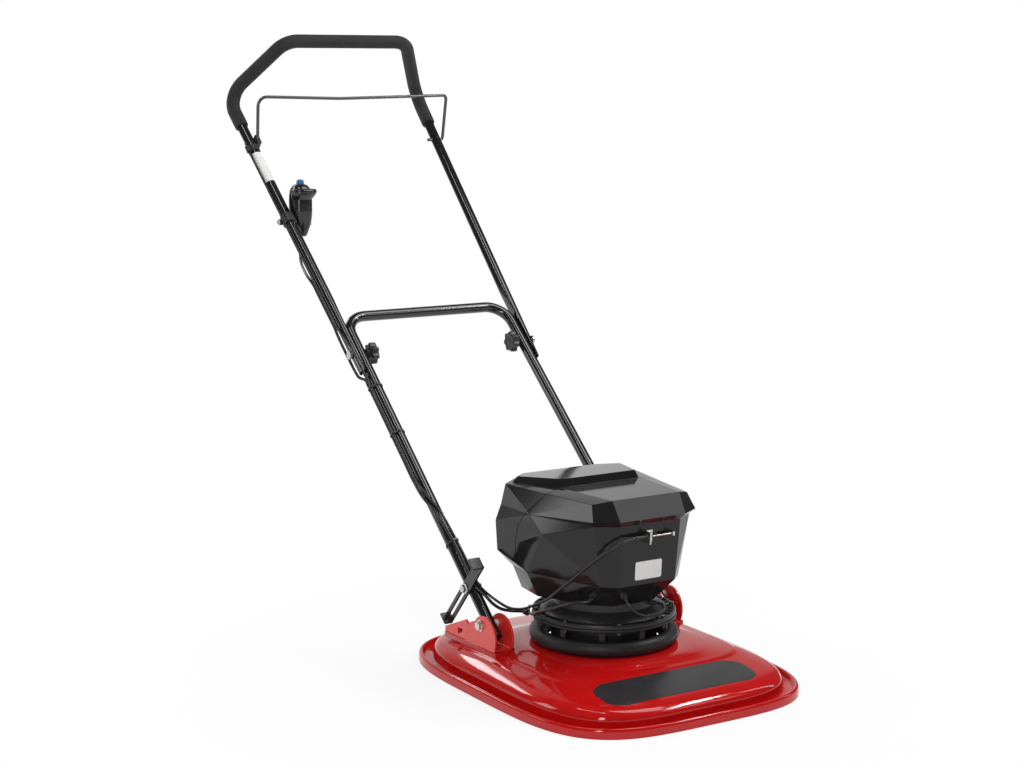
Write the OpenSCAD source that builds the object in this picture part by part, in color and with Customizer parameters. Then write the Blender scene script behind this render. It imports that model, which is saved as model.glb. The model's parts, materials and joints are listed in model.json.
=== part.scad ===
// Hover mower: a domed deck that floats on the air its impeller blows, a faceted battery and motor
// housing on an air intake ring, and a tall two-piece tube handle with a grip, a run bail and a switch.
// Millimetres, +Z up, the front of the mower towards -Y, origin on the ground under the blade axis.

/* [Deck] */
// Width of the deck over the rim
deck_w = 560; // [540:1:580]
// Length of the deck over the rim
deck_l = 684; // [664:1:704]
// Squareness of the deck's outline
deck_square = 3.85; // [3.4:0.05:4.4]
// Wall of the deck moulding
deck_wall = 4; // [3:0.25:5]
// Height of the upturned lip round the rim
lip_h = 17; // [14:0.5:20]
// Thickness of the lip
lip_t = 8; // [6:0.5:10]
// Width of the gutter between lip and dome
gutter_w = 16; // [12:0.5:20]
// Height of the gutter floor
gutter_z = 7; // [6:0.5:9]
// Height of the bead at the foot of the dome
bead_z = 30; // [27:0.5:32]
// Height of the panel's edge on top of the dome
panel_z = 58; // [56:0.5:60]
// Height of the seat that the air ring stands on
seat_z = 70; // [68:0.5:74]
// Radius of the air opening
air_r = 112; // [106:1:116]
// Height of the pads that the handle brackets stand on
pad_z = 62; // [60.5:0.5:64]

/* [Air ring and motor base] */
// Outer radius of the rolled lip
roll_r = 140; // [136:0.5:144]
// Radius of the roll's section
roll_section = 14; // [12:0.5:15]
// Height of the windows in the ring
window_h = 16; // [12:0.5:20]
// Width of the posts between the windows
post_w = 11; // [8:0.5:14]
// Number of windows
window_n = 10; // [8:1:12]
// Radius of the ring's top flange
flange_r = 135; // [132:0.5:138]
// Thickness of the ring's top flange
flange_t = 6; // [5:0.5:8]
// Height of the motor base's neck above its flange
neck_h = 28; // [24:0.5:32]
// Thickness of the motor base's flange
base_flange_t = 8; // [6:0.5:10]

/* [Motor and cutter] */
// Diameter of the motor shaft
shaft_d = 17; // [15:0.5:18]
// Radius of the motor can
can_r = 75; // [70:0.5:78]
// Height of the motor can
can_h = 82; // [76:1:86]
// Room left at each side between the blade's tip and the rim
blade_margin = 65; // [62:1:75]
// Width of the cutting blade
blade_w = 52; // [44:1:60]
// Thickness of the cutting blade
blade_t = 5; // [4:0.25:6]
// Height of the blade's underside over the ground
blade_z = 23; // [21:0.5:25]
// Thickness of one blade spacer
spacer_t = 3; // [2:0.25:4]
// Radius of the impeller
impeller_r = 138; // [128:1:142]
// Number of impeller vanes
vane_n = 9; // [7:1:11]
// Height of the impeller vanes
vane_h = 19; // [15:0.5:20]

/* [Housing] */
// Half width of the housing at its widest
housing_half_w = 155; // [150:0.5:160]
// Reach of the hood's front edge from the motor axis
hood_reach = 153; // [148:0.5:158]
// Half width of the hood's front edge
hood_half_w = 72; // [66:0.5:78]
// Run of the corner facet across the mower
corner_x = 41; // [36:0.5:46]
// Run of the corner facet along the mower
corner_y = 25; // [20:0.5:30]
// Reach of the housing's rear face from the motor axis
rear_reach = 172; // [168:0.5:178]
// Height of the tray
tray_h = 46; // [42:0.5:50]
// Height of the hood's edge over the tray
hood_rise = 124; // [118:0.5:130]
// Height of the hood's sloping front facet
hood_h = 36; // [32:0.5:40]
// Height of the lid's raised plateau over the hood
lid_step = 14; // [12:0.5:20]
// Wall of the housing mouldings
housing_wall = 3; // [2.5:0.25:4]
// Gap between lid and front cover
lid_gap = 1.2; // [0.8:0.1:2]

/* [Handle] */
// Outer diameter of the handle tubes
tube_d = 22; // [21:0.25:23]
// Wall of the handle tubes
tube_wall = 1.5; // [1.25:0.25:2]
// Distance of each lower leg from the middle
lower_x = 193.5; // [190:0.5:197]
// Height of the handle pivot
pivot_z = 103; // [101:0.5:106]
// Distance of the handle pivot behind the blade axis
pivot_y = 92; // [88:0.5:96]
// Slope of the lower handle
lower_angle = 41.5; // [39:0.5:45]
// Length of the lower handle from pivot to crossbar
lower_l = 772; // [740:1:800]
// Length of tube below the pivot
tail_l = 32; // [28:0.5:34]
// Bend radius of the handle tubes
tube_bend = 48; // [42:1:54]
// Distance from pivot to the folding bolts
fold_s = 671; // [650:1:690]
// Slope of the upper handle
upper_angle = 43.7; // [42:0.1:46]
// Length of the upper legs from the folding bolts to the grip bend
upper_l = 741; // [715:1:760]
// How far each upper leg spreads outwards per length
splay = 0.0448; // [0.035:0.0001:0.055]
// Half length of the top grip bar between its bends
grip_half_w = 148.5; // [140:0.5:156]
// Rise of the grip bar over the legs' plane
grip_rise = 168; // [158:1:178]
// Outer diameter of the foam grip
foam_d = 31; // [28:0.5:33]
// Length of leg that the foam covers below the grip bend
foam_l = 93; // [80:1:104]

/* [Fittings] */
// Gap between the two ears of a bracket
ear_gap = 33; // [31:0.5:36]
// Thickness of the bracket's steel
ear_t = 4; // [3:0.25:5]
// Diameter of the handle's pivot bolts
pivot_d = 10; // [8:0.5:11]
// Diameter of the folding bolts
fold_d = 8; // [7:0.25:9]
// Diameter of the star knobs
knob_d = 45; // [40:0.5:50]
// Thickness of the star knob's lobes
knob_t = 16; // [13:0.5:18]
// Width of the lock plate
lock_w = 24; // [20:0.5:28]
// Thickness of the lock plate
lock_t = 4; // [3:0.25:4.5]
// Diameter of the bail's wire
bail_d = 7; // [6:0.25:8]
// Length of the bail's legs
bail_l = 102; // [96:1:110]
// Diameter of the control cable
cable_d = 5; // [4:0.25:5.5]
// Diameter of the switch lead
lead_d = 6; // [5:0.25:6.5]
// Diameter of the start button
button_d = 16; // [14:0.5:18]

/* [Hidden] */

$fn = 48;
// Clearance between pieces that only lie near each other
gap = 0.3;
// Radial clearance of a turning fit
run = 0.05;
// Overlap that makes a cut go right through
cut = 1;
// Gap between a straight run and its bend, and the bead that closes it
seam = 0.2;
bead = 0.06;

// Deck outline and dome
deck_a = deck_w / 2;
deck_b = deck_l / 2;
deck_stations = 84;
seat_r = roll_r + 6;
dome_in = lip_t + gutter_w + 2;
function power(v, n) = sign(v) * pow(abs(v), 2 / n);
function outline(ring) = [
    for (i = [0 : deck_stations - 1])
        let (turn = 360 * i / deck_stations)
        [ring[0] * power(cos(turn), ring[2]), ring[1] * power(sin(turn), ring[2]), ring[3]]
];
// Each ring is half width, half length, squareness and height, from the rim's foot up to the air opening
dome_rings = [
    [deck_a - dome_in, deck_b - dome_in, deck_square, bead_z - 4],
    [deck_a - dome_in - 2, deck_b - dome_in - 3, deck_square, bead_z],
    [deck_a - 33, deck_b - 40, 4.2, bead_z + 8],
    [deck_a - 40, deck_b - 58, 4.2, bead_z + 13],
    [deck_a - 54, deck_b - 98, 4.4, bead_z + 19],
    [deck_a - 74, deck_b - 152, 5, panel_z - 0.5],
    [deck_a - 80, deck_b - 160, 5, panel_z + 1.5],
    [seat_r + 8, seat_r + 8, 2.2, seat_z - 1],
    [seat_r, seat_r, 2, seat_z],
    [air_r, air_r, 2, seat_z]
];
rim_rings = [
    [deck_a, deck_b, deck_square, 0],
    [deck_a, deck_b, deck_square, lip_h - 4],
    [deck_a - 2.5, deck_b - 2.5, deck_square, lip_h - 0.5],
    [deck_a - lip_t + 2, deck_b - lip_t + 2, deck_square, lip_h],
    [deck_a - lip_t, deck_b - lip_t, deck_square, lip_h - 3],
    [deck_a - lip_t - 2, deck_b - lip_t - 2, deck_square, gutter_z + 1],
    [deck_a - lip_t - 4, deck_b - lip_t - 4, deck_square, gutter_z],
    [deck_a - dome_in + 2, deck_b - dome_in + 2, deck_square, gutter_z]
];
under_rings = [
    for (i = [len(dome_rings) - 1 : -1 : 0])
        let (ring = dome_rings[i], side = i > 6 ? 0 : deck_wall)
        [ring[0] - side, ring[1] - side, ring[2], ring[3] - deck_wall]
];
foot_rings = [
    [deck_a - dome_in - deck_wall, deck_b - dome_in - deck_wall, deck_square, gutter_z],
    [deck_a - dome_in, deck_b - dome_in, deck_square, gutter_z - deck_wall],
    [deck_a - lip_t, deck_b - lip_t, deck_square, gutter_z - deck_wall],
    [deck_a - lip_t, deck_b - lip_t, deck_square, 0]
];
deck_rings = [for (r = rim_rings) r, for (r = dome_rings) r, for (r = under_rings) r, for (r = foot_rings) r];

// Air ring, motor base and motor heights
roll_z = seat_z + roll_section;
roll_mid = roll_r - roll_section;
ring_wall_r = roll_mid - 3.5;
ring_wall_t = 5;
window_z = seat_z + 2 * roll_section + 1;
flange_z = window_z + window_h + 1;
base_z = flange_z + flange_t;
neck_z = base_z + base_flange_t;
tray_z = neck_z + neck_h;
bolt_ring_r = flange_r - 6;
base_bolt_n = 8;
ring_screw_n = 6;
screw_r = 2.5;
shaft_r = shaft_d / 2;
lower_bearing_r = shaft_r + 11.5;
upper_bearing_r = shaft_r + 9;
bearing_h = 12;
bearing_z = base_z + 2;
hub_r = lower_bearing_r + 7;
neck_top_r = flange_r - 39;
skirt_h = 14;
base_plate_t = 6;
can_wall = 3;
can_foot_r = can_r + 10;
can_foot_t = 4;
core_z = tray_z + 17;
core_h = 40;
core_gap = 0.8;
core_r = 50;
blade_l = deck_w - 2 * blade_margin;
blade_top = blade_z + blade_t;
spacer_n = 2;
impeller_z = blade_top + spacer_n * spacer_t;
impeller_disc_t = 3;
hub_boss_r = 24;
hub_boss_h = 30;
blade_bolt_r = 5;
washer_t = 3;
head_h = 9;

// Housing facets
hood_z = tray_z + tray_h + hood_rise;
ridge_z = hood_z + hood_h;
lid_z = ridge_z + lid_step;
cover_z = tray_z + tray_h;
split_gap = 0.2;
// Height under the hood where the front face begins
brow_z = hood_z - 10;
brow_in = 8;
// Side crease of the housing
crease_z = cover_z + 86;
hinge_y = rear_reach + 7;
hinge_z = cover_z + 9;
hinge_pin_r = 3;
hinge_barrel_r = 6;
knuckle_l = 28;
function both(points) = concat(points, [for (p = points) [-p[0], p[1], p[2]]]);
// Points of half a facet model, moved inwards by d and down by d at the top
function shrink(points, d, mid = 0) = [
    for (p = points)
        [p[0] - d * 1.2, p[1] + (p[1] < mid ? d : -d), p[2] > cover_z + 1 ? p[2] - d * 0.8 : p[2] - d - cut]
];
lower_half = [
    [hood_half_w - 11, -hood_reach + 16, cover_z], [hood_half_w + 14, -hood_reach + 39, cover_z],
    [housing_half_w - 16, 50, cover_z], [housing_half_w - 21, 106, cover_z], [100, rear_reach - 14, cover_z],
    [housing_half_w - 5, 72, cover_z + 38], [housing_half_w, 128, cover_z + 28], [110, rear_reach, cover_z + 34],
    [housing_half_w - 5, -18, crease_z], [housing_half_w, 134, crease_z - 2], [110, rear_reach, crease_z],
    [hood_half_w - 6, -hood_reach + brow_in, brow_z], [hood_half_w + corner_x - 8, -hood_reach + 33, brow_z],
    [housing_half_w - 7, 25, brow_z], [housing_half_w - 8, 128, brow_z], [106, rear_reach - 4, brow_z]
];
hood_half = [
    [hood_half_w - 6, -hood_reach + brow_in, brow_z], [hood_half_w + corner_x - 8, -hood_reach + 33, brow_z],
    [housing_half_w - 7, 25, brow_z], [housing_half_w - 8, 128, brow_z], [106, rear_reach - 4, brow_z],
    [hood_half_w, -hood_reach, hood_z], [hood_half_w + corner_x, -hood_reach + corner_y, hood_z],
    [hood_half_w + 2, -hood_reach + 23, ridge_z], [hood_half_w + 33, -hood_reach + 41, ridge_z - 7],
    [121, 8, ridge_z - 6], [housing_half_w - 13, 120, ridge_z - 6], [90, rear_reach - 14, ridge_z - 4],
    [90, 8, ridge_z]
];
plateau_half = [
    [90, 9.5, ridge_z - 10], [81, 19, lid_z], [housing_half_w - 38, 118, lid_z - 8], [84, rear_reach - 20, lid_z - 12],
    [housing_half_w - 17, 117, ridge_z - 14], [87, rear_reach - 17, ridge_z - 14]
];
tray_low = [[46, -92], [76, -66], [122, 40], [112, 110], [80, 140]];
tray_high = [
    [hood_half_w - 11, -hood_reach + 16], [hood_half_w + 14, -hood_reach + 39], [housing_half_w - 16, 50],
    [housing_half_w - 21, 106], [100, rear_reach - 14]
];
// Side view of the line where the lid parts from the front cover
split_line = [
    [8, ridge_z + 60], [8, ridge_z - 6], [60, crease_z + 4], [72, cover_z + 38], [52, cover_z - 4],
    [300, cover_z - 4], [300, ridge_z + 60]
];
// Battery and controller inside the housing
battery = [180, 112, 84];
battery_y = 78;
cradle_z = tray_z + can_h + 14;
cradle_t = 4;
cradle_half = [102, 60];
cradle_leg = [96, 22, 96];
tray_floor = 4;
// Run switch and cable end on the front face
face_slope = (brow_in - 16) / (brow_z - cover_z);
lever_z = cover_z + 92;
face_y = -hood_reach + 16 + face_slope * (lever_z - cover_z);
slot_x = [14, 48];
slot_h = 8;
bracket_x = -14;
cable_y = face_y - 11;
controller_z = cover_z + 8;
controller_y = -hood_reach + 16 + face_slope * 8 + housing_wall + gap;
controller_w = 100;
controller_t = 26;

// Handle frame
tube_r = tube_d / 2;
bore_r = tube_r - tube_wall;
crimp_in = 0.7;
crimp_l = 112;
crimp_tail = 46;
fold_x = lower_x + tube_r + gap + crimp_in;
fold_y = pivot_y + fold_s * cos(lower_angle);
fold_z = pivot_z + fold_s * sin(lower_angle);
function leg_x(t) = fold_x + splay * t;
grip_corner = [leg_x(upper_l), upper_l, 0];
grip_top = [grip_half_w, upper_l, grip_rise];
// The grip loop is swept from here, just inside the foam
loop_t = upper_l - foam_l + 10;
loop_steps = 6;
loop_sides = 16;
plug_half = 9;
foam_r = foam_d / 2;
pivot_r = pivot_d / 2;
bush_r = pivot_r + 2;
fold_r = fold_d / 2;
fold_head_t = 4.7;
fold_head_r = 9;
fold_face = fold_x + tube_r + gap + splay * fold_head_r;
knob_hub_h = 6;
knob_lobes = 7;
knob_points = 70;
knob_wave = 2.4;
bush_l = ear_gap - 2 * gap;
bolt_head_t = 6;
washer = 1.5;
nut_t = 7;
// Bracket outline seen from the side
hump_y = pivot_y - 12;
hump_z = pivot_z - 21;
hump_r = 41;
base_t = 3.5;
bracket_rear = pivot_y + 130;
bracket_screw_y = [pivot_y + 68, pivot_y + 110];
bracket_screw_r = 4;
// Lock plate, in the lower handle's own plane
lock_s = 84;
lock_bolt_r = 4;
lock_low = 98;
lock_high = 82;
lock_slot = 87;
lock_foot = 13;
lock_tab = 20;
lock_x = -(lower_x + tube_r + gap + lock_t / 2);

// Bail, in the upper handle's own plane
bail_r = bail_d / 2;
bail_drop = 50;
bail_t = upper_l - foam_l - bail_drop;
stop_t = bail_t - 20;
stop_l = 16;
bail_lean = 54.3;
bail_foot_bend = 5.5;
bail_in = leg_x(bail_t) - tube_r - bail_foot_bend - 0.6;
bail_out = leg_x(bail_t) + tube_r + bail_foot_bend + 0.6;
bail_bar = [bail_t + bail_l * cos(bail_lean), bail_l * sin(bail_lean)];
bail_spread = 3;
bail_bend = 14;
bail_gap = 0.25;
bail_path = [
    [-leg_x(bail_t) + tube_r + bail_gap, bail_t, 0], [-bail_in, bail_t, 0],
    [-bail_in - bail_spread, bail_bar[0], bail_bar[1]], [bail_out + bail_spread, bail_bar[0], bail_bar[1]],
    [bail_out, bail_t, 0], [leg_x(bail_t) + tube_r + bail_gap, bail_t, 0]
];
bail_steps = 5;
bail_sides = 10;
bail_bends = [0, bail_foot_bend, bail_bend, bail_bend, bail_foot_bend, 0];
hub_block = [9.5, 22, 22];
hub_in = 0.4;

// Switch box beside the left upper leg, upright
box_at = [-187.5, 876];
box_low = 768;
box_h = 114;
box_half = [22, 24];
box_wall = 2.5;
button_r = button_d / 2;
button_travel = 4;
clamp_t = 372;
clamp_wall = 4;
clamp_l = 22;
clamp_drop = -6;

// Cable places beside the tube: across the mower and out of the handle's plane
cable_r = cable_d / 2;
lead_r = lead_d / 2;
cable_side = [-(tube_r + cable_r + 0.7), 3];
lead_side = [-(tube_r + lead_r - 0.6), -5.5];
cord_sides = 8;
// Points of the control cable and of the switch lead, chosen by hand
cable_fold_points = [[-222, 60, 5], [-219, 25, 11], [-217, 0, 13.5], [-214.5, -30, 12.5], [-211, -55, 8]];
lead_fold_points = [[-221.5, 60, -8], [-218.5, 25, -12], [-216, 0, -14], [-214, -34, -14.5], [-212.5, -49, -12.5]];
cable_lower_points = [[-207.7, 345, 3], [-204, 300, 11], [-196, 250, 17], [-190, 184, 15.2], [-188.5, 110, 15]];
lead_lower_points = [[-207.5, 345, -4.5], [-209, 300, 3], [-204.5, 250, 14.5], [-197.5, 184, 15.5], [-196.5, 110, 15.5]];
leave_s = 75;
cable_free_points = [
    [-173, 128, 147], [-161, 113, 135], [-152, 92, 128], [-145, 60, 132], [-142, 22, 147], [-140, -20, 168],
    [-136, -56, 194], [-124, -92, 226], [-108, -126, 258], [-91, -150, 281], [-72, -159, 293], [-56, -157, 296]
];
lead_free_points = [
    [-183.5, 124, 148], [-172, 116, 133], [-157, 111, 122], [-140, 104, 117.5], [-126, 90, 118], [-124, 75, 119.5],
    [-125.5, 60, 121], [-134, 38, 126], [-140, 5, 138], [-136, -30, 152], [-129, -60, 165], [-117, -84, 174]
];
lead_upper_points = [[-187.5, 340, -50], [-197, 318, -54], [-207, 290, -47], [-217, 258, -32], [-226, 228, -16]];
motor_lead_points = [[-43, -140, 170], [-36, -145, 161], [-22, -144, 152], [-2, -141, 145.5], [24, -135, 145], [47, -124, 148]];
plug_turn = -62;
plug_z = tray_z - 7;
plug_r = neck_top_r + run;
// Gland on the tray's left side for the switch lead, and on its front for the motor lead
side_a = [-tray_low[1][0], tray_low[1][1], tray_z];
tray_top = cover_z - split_gap;
side_b = [-tray_high[1][0], tray_high[1][1], tray_top];
side_c = [-tray_high[2][0], tray_high[2][1], tray_top];
side_d = [-tray_low[2][0], tray_low[2][1], tray_z];
side_far = cross(side_b - side_a, side_c - side_a) * (side_d - side_a) > 0 ? side_d : side_c;
side_out = unit(cross(side_b - side_a, side_far - side_a));
side_gland = side_a + (side_far - side_a) * 0.05 + (side_b - side_a) * 0.64;
front_out = unit([0, tray_z - tray_top, tray_high[0][1] - tray_low[0][1]]);
front_gland = [-44, tray_low[0][1] + (tray_high[0][1] - tray_low[0][1]) * 0.66, tray_z + (tray_top - tray_z) * 0.66];
gland_l = 11;
clip_at = [-124, 75, 119.5];
clip_turn = 148.8;
tie_s = [581, 460];
tie_low_s = 184;
tie_w = 4.5;
tie_t = 1.3;

// Small helpers
function unit(v) = v / norm(v);
function lower_point(p) = [
    p[0],
    pivot_y + p[1] * cos(lower_angle) - p[2] * sin(lower_angle),
    pivot_z + p[1] * sin(lower_angle) + p[2] * cos(lower_angle)
];
function upper_point(p) = [
    p[0],
    fold_y + p[1] * cos(upper_angle) - p[2] * sin(upper_angle),
    fold_z + p[1] * sin(upper_angle) + p[2] * cos(upper_angle)
];
module in_lower() {
    translate([0, pivot_y, pivot_z]) rotate([lower_angle, 0, 0]) children();
}
module in_upper() {
    translate([0, fold_y, fold_z]) rotate([upper_angle, 0, 0]) children();
}
module along_x(x0, x1, r, sides = 48) {
    translate([min(x0, x1), 0, 0]) rotate([0, 90, 0]) cylinder(r = r, h = abs(x1 - x0), $fn = sides);
}
module rod(a, b, r) {
    d = b - a;
    translate(a) rotate([0, acos(d[2] / norm(d)), atan2(d[1], d[0])]) cylinder(r = r, h = norm(d));
}
function turn_of(a, b, c) = acos(min(1, max(-1, unit(b - a) * unit(c - b))));
function tangent(a, b, c, radius) = radius * tan(turn_of(a, b, c) / 2);
// A round bar along straight runs joined by bends
module bent_rod(points, bends, r) {
    last = len(points) - 1;
    for (i = [0 : last - 1]) {
        d = unit(points[i + 1] - points[i]);
        from = i == 0 ? 0 : tangent(points[i - 1], points[i], points[i + 1], bends[i]);
        to = i == last - 1 ? 0 : tangent(points[i], points[i + 1], points[i + 2], bends[i + 1]);
        rod(points[i] + d * (i == 0 ? 0 : from + seam), points[i + 1] - d * (i == last - 1 ? 0 : to + seam), r);
    }
    for (i = [1 : last - 1]) {
        din = unit(points[i] - points[i - 1]);
        dout = unit(points[i + 1] - points[i]);
        side = unit(dout - din * (din * dout));
        turn = turn_of(points[i - 1], points[i], points[i + 1]);
        start = points[i] - din * tangent(points[i - 1], points[i], points[i + 1], bends[i]);
        centre = start + side * bends[i];
        end = points[i] + dout * tangent(points[i - 1], points[i], points[i + 1], bends[i]);
        up = cross(-side, din);
        translate(start) sphere(r = r + bead);
        translate(end) sphere(r = r + bead);
        multmatrix([
            [-side[0], din[0], up[0], centre[0]],
            [-side[1], din[1], up[1], centre[1]],
            [-side[2], din[2], up[2], centre[2]],
            [0, 0, 0, 1]
        ]) rotate_extrude(angle = turn) translate([bends[i], 0]) circle(r = r);
    }
}
// Points along straight runs joined by bends, for a swept bar
function arc_points(a, b, c, radius, steps) =
    let (
        din = unit(b - a), dout = unit(c - b), turn = turn_of(a, b, c), side = unit(dout - din * (din * dout)),
        start = b - din * tangent(a, b, c, radius), centre = start + side * radius
    )
    [for (k = [0 : steps]) centre + radius * (din * sin(turn * k / steps) - side * cos(turn * k / steps))];
function bent_route(points, bends, steps) = concat(
    [points[0]],
    [for (i = [1 : len(points) - 2]) each arc_points(points[i - 1], points[i], points[i + 1], bends[i], steps)],
    [points[len(points) - 1]]
);
// A cord as one swept tube: rings square to the route, each turned as little as can be from the last
function route_dir(p, i) = unit(p[min(i + 1, len(p) - 1)] - p[max(i - 1, 0)]);
function first_side(d) = unit(cross(d, abs(d[2]) < 0.9 ? [0, 0, 1] : [1, 0, 0]));
function next_side(s, d) = unit(s - d * (s * d));
function sides_of(p, i = 0, s = [0, 0, 0]) =
    let (d = route_dir(p, i), here = i == 0 ? first_side(d) : next_side(s, d))
    i == len(p) - 1 ? [here] : concat([here], sides_of(p, i + 1, here));
module cord(p, r, sides = cord_sides) {
    side = sides_of(p);
    n = len(p);
    points = [
        for (i = [0 : n - 1], k = [0 : sides - 1])
            let (d = route_dir(p, i), t = 360 * k / sides)
            p[i] + r * (side[i] * cos(t) + cross(d, side[i]) * sin(t))
    ];
    walls = [
        for (i = [0 : n - 2], k = [0 : sides - 1], half = [0, 1])
            let (a = i * sides + k, b = i * sides + (k + 1) % sides)
            half == 0 ? [a, a + sides, b] : [b, a + sides, b + sides]
    ];
    ends = [
        for (k = [1 : sides - 2], half = [0, 1])
            let (z = (n - 1) * sides)
            half == 0 ? [0, k, k + 1] : [z, z + k + 1, z + k]
    ];
    polyhedron(points = points, faces = concat(walls, ends));
}
module facets(points) {
    hull() polyhedron(points = points, faces = [[for (i = [0 : len(points) - 1]) i]]);
}

// Deck, air ring and motor
module deck_shell() {
    rings = len(deck_rings);
    n = deck_stations;
    color("firebrick") difference() {
        union() {
            polyhedron(
                points = [for (r = deck_rings) each outline(r)],
                faces = [
                    for (i = [0 : rings - 1], k = [0 : n - 1], half = [0, 1])
                        let (j = (i + 1) % rings, m = (k + 1) % n)
                        half == 0 ? [i * n + k, j * n + k, i * n + m] : [i * n + m, j * n + k, j * n + m]
                ]
            );
            for (s = [-1, 1])
                translate([s * lower_x - ear_gap / 2 - ear_t - cut, hump_y - hump_r - cut, bead_z + 16])
                    cube([ear_gap + 2 * ear_t + 2 * cut, bracket_rear - hump_y + hump_r + 2 * cut, pad_z - bead_z - 16]);
        }
        for (s = [-1, 1])
            translate([s * lower_x - ear_gap / 2 - ear_t - cut, hump_y - hump_r - cut, pad_z])
                cube([ear_gap + 2 * ear_t + 2 * cut, bracket_rear - hump_y + hump_r + 2 * cut, seat_z]);
        for (i = [0 : ring_screw_n - 1])
            rotate([0, 0, 360 * (i + 0.5) / ring_screw_n])
                translate([roll_mid, 0, seat_z - deck_wall - cut]) cylinder(r = screw_r + 0.1, h = deck_wall + 2 * cut);
        for (s = [-1, 1], y = bracket_screw_y)
            translate([s * lower_x, y, pad_z - 12]) cylinder(r = bracket_screw_r + 0.1, h = 12 + cut);
    }
}
module air_ring() {
    color("dimgray") difference() {
        union() {
            rotate_extrude($fn = 96) translate([roll_mid, roll_z]) circle(r = roll_section);
            rotate_extrude($fn = 96) translate([air_r + 2, seat_z]) square([roll_mid - air_r + 4, roll_section]);
            rotate_extrude($fn = 96) translate([ring_wall_r - ring_wall_t, roll_z])
                square([ring_wall_t, base_z - roll_z]);
            rotate_extrude($fn = 96) translate([air_r, flange_z]) square([flange_r - air_r, flange_t]);
        }
        for (i = [0 : window_n - 1]) {
            span = 2 * PI * ring_wall_r / window_n - post_w;
            rotate([0, 0, 360 * i / window_n])
                translate([ring_wall_r - ring_wall_t - cut, -span / 2, window_z])
                    cube([ring_wall_t + 2 * cut, span, window_h]);
        }
        for (i = [0 : base_bolt_n - 1])
            rotate([0, 0, 360 * (i + 0.5) / base_bolt_n])
                translate([bolt_ring_r, 0, flange_z - cut]) cylinder(r = screw_r + 0.1, h = flange_t + 2 * cut);
        for (i = [0 : ring_screw_n - 1])
            rotate([0, 0, 360 * (i + 0.5) / ring_screw_n])
                translate([roll_mid, 0, seat_z - cut]) cylinder(r = screw_r + 0.1, h = roll_section + cut);
    }
}
module ring_screws() {
    color("silver") for (i = [0 : ring_screw_n - 1])
        rotate([0, 0, 360 * (i + 0.5) / ring_screw_n]) translate([roll_mid, 0, seat_z - deck_wall]) {
            translate([0, 0, -3]) cylinder(r = 5, h = 3);
            cylinder(r = screw_r, h = deck_wall + roll_section - 2);
        }
}
module motor_base() {
    color("dimgray") difference() {
        rotate_extrude($fn = 96) polygon([
            [shaft_r + 2, bearing_z + bearing_h], [lower_bearing_r + run, bearing_z + bearing_h],
            [lower_bearing_r + run, base_z], [hub_r, base_z], [hub_r, tray_z - base_plate_t],
            [neck_top_r - 5, tray_z - base_plate_t], [neck_top_r - 5, neck_z + skirt_h - 3],
            [neck_top_r + 4, neck_z + skirt_h - 9], [flange_r - 22, neck_z - 1], [flange_r - 22, base_z],
            [flange_r - 1, base_z], [flange_r - 1, neck_z], [flange_r - 7, neck_z],
            [neck_top_r + 10, neck_z + skirt_h - 5], [neck_top_r, neck_z + skirt_h], [neck_top_r, tray_z],
            [shaft_r + 2, tray_z]
        ]);
        for (i = [0 : base_bolt_n - 1])
            rotate([0, 0, 360 * (i + 0.5) / base_bolt_n]) {
                translate([bolt_ring_r, 0, base_z - cut]) cylinder(r = screw_r + 0.1, h = base_flange_t + 2 * cut);
                translate([bolt_ring_r, 0, neck_z]) cylinder(r = 5.5, h = 4);
            }
        for (a = [45 : 90 : 315])
            rotate([0, 0, a]) translate([can_foot_r - 5, 0, tray_z - base_plate_t - cut])
                cylinder(r = screw_r + 0.1, h = base_plate_t + 2 * cut);
    }
}
module base_bolts() {
    color("silver") for (i = [0 : base_bolt_n - 1])
        rotate([0, 0, 360 * (i + 0.5) / base_bolt_n]) translate([bolt_ring_r, 0, 0]) {
            translate([0, 0, neck_z]) cylinder(r = 4.6, h = 3.5, $fn = 6);
            translate([0, 0, flange_z - 6]) cylinder(r = screw_r, h = neck_z - flange_z + 6);
            translate([0, 0, flange_z - 4]) cylinder(r = 4.4, h = 4, $fn = 6);
        }
}
module motor_can() {
    top = tray_z + can_h;
    color("darkgray") difference() {
        union() {
            rotate_extrude($fn = 96) polygon([
                [can_r - can_wall, tray_z], [can_foot_r, tray_z], [can_foot_r, tray_z + can_foot_t],
                [can_r, tray_z + can_foot_t], [can_r, top - 4], [can_r - 4, top], [0, top], [0, top - 4],
                [upper_bearing_r + run, top - 4], [upper_bearing_r + run, top - 4 - bearing_h],
                [upper_bearing_r + 5, top - 4 - bearing_h], [upper_bearing_r + 5, top - 4], [can_r - can_wall, top - 4]
            ]);
        }
        for (a = [45 : 90 : 315])
            rotate([0, 0, a]) translate([can_foot_r - 5, 0, tray_z - cut])
                cylinder(r = screw_r + 0.1, h = can_foot_t + 2 * cut);
    }
}
module motor_screws() {
    color("silver") for (a = [45 : 90 : 315])
        rotate([0, 0, a]) translate([can_foot_r - 5, 0, tray_z]) {
            translate([0, 0, -base_plate_t]) cylinder(r = screw_r, h = base_plate_t + can_foot_t);
            translate([0, 0, can_foot_t]) cylinder(r = 4.4, h = 3.5, $fn = 6);
        }
}
module stator() {
    color("gray") difference() {
        translate([0, 0, core_z]) cylinder(r = can_r - can_wall, h = core_h, $fn = 96);
        translate([0, 0, core_z - cut]) cylinder(r = core_r, h = core_h + 2 * cut, $fn = 96);
        for (a = [0 : 30 : 330])
            rotate([0, 0, a]) translate([core_r + 6, 0, core_z - cut]) cylinder(r = 4.5, h = core_h + 2 * cut);
    }
}
module bearing(outer, z) {
    translate([0, 0, z]) rotate_extrude($fn = 96) translate([shaft_r + run, 0])
        square([outer - shaft_r - run, bearing_h]);
}
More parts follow.
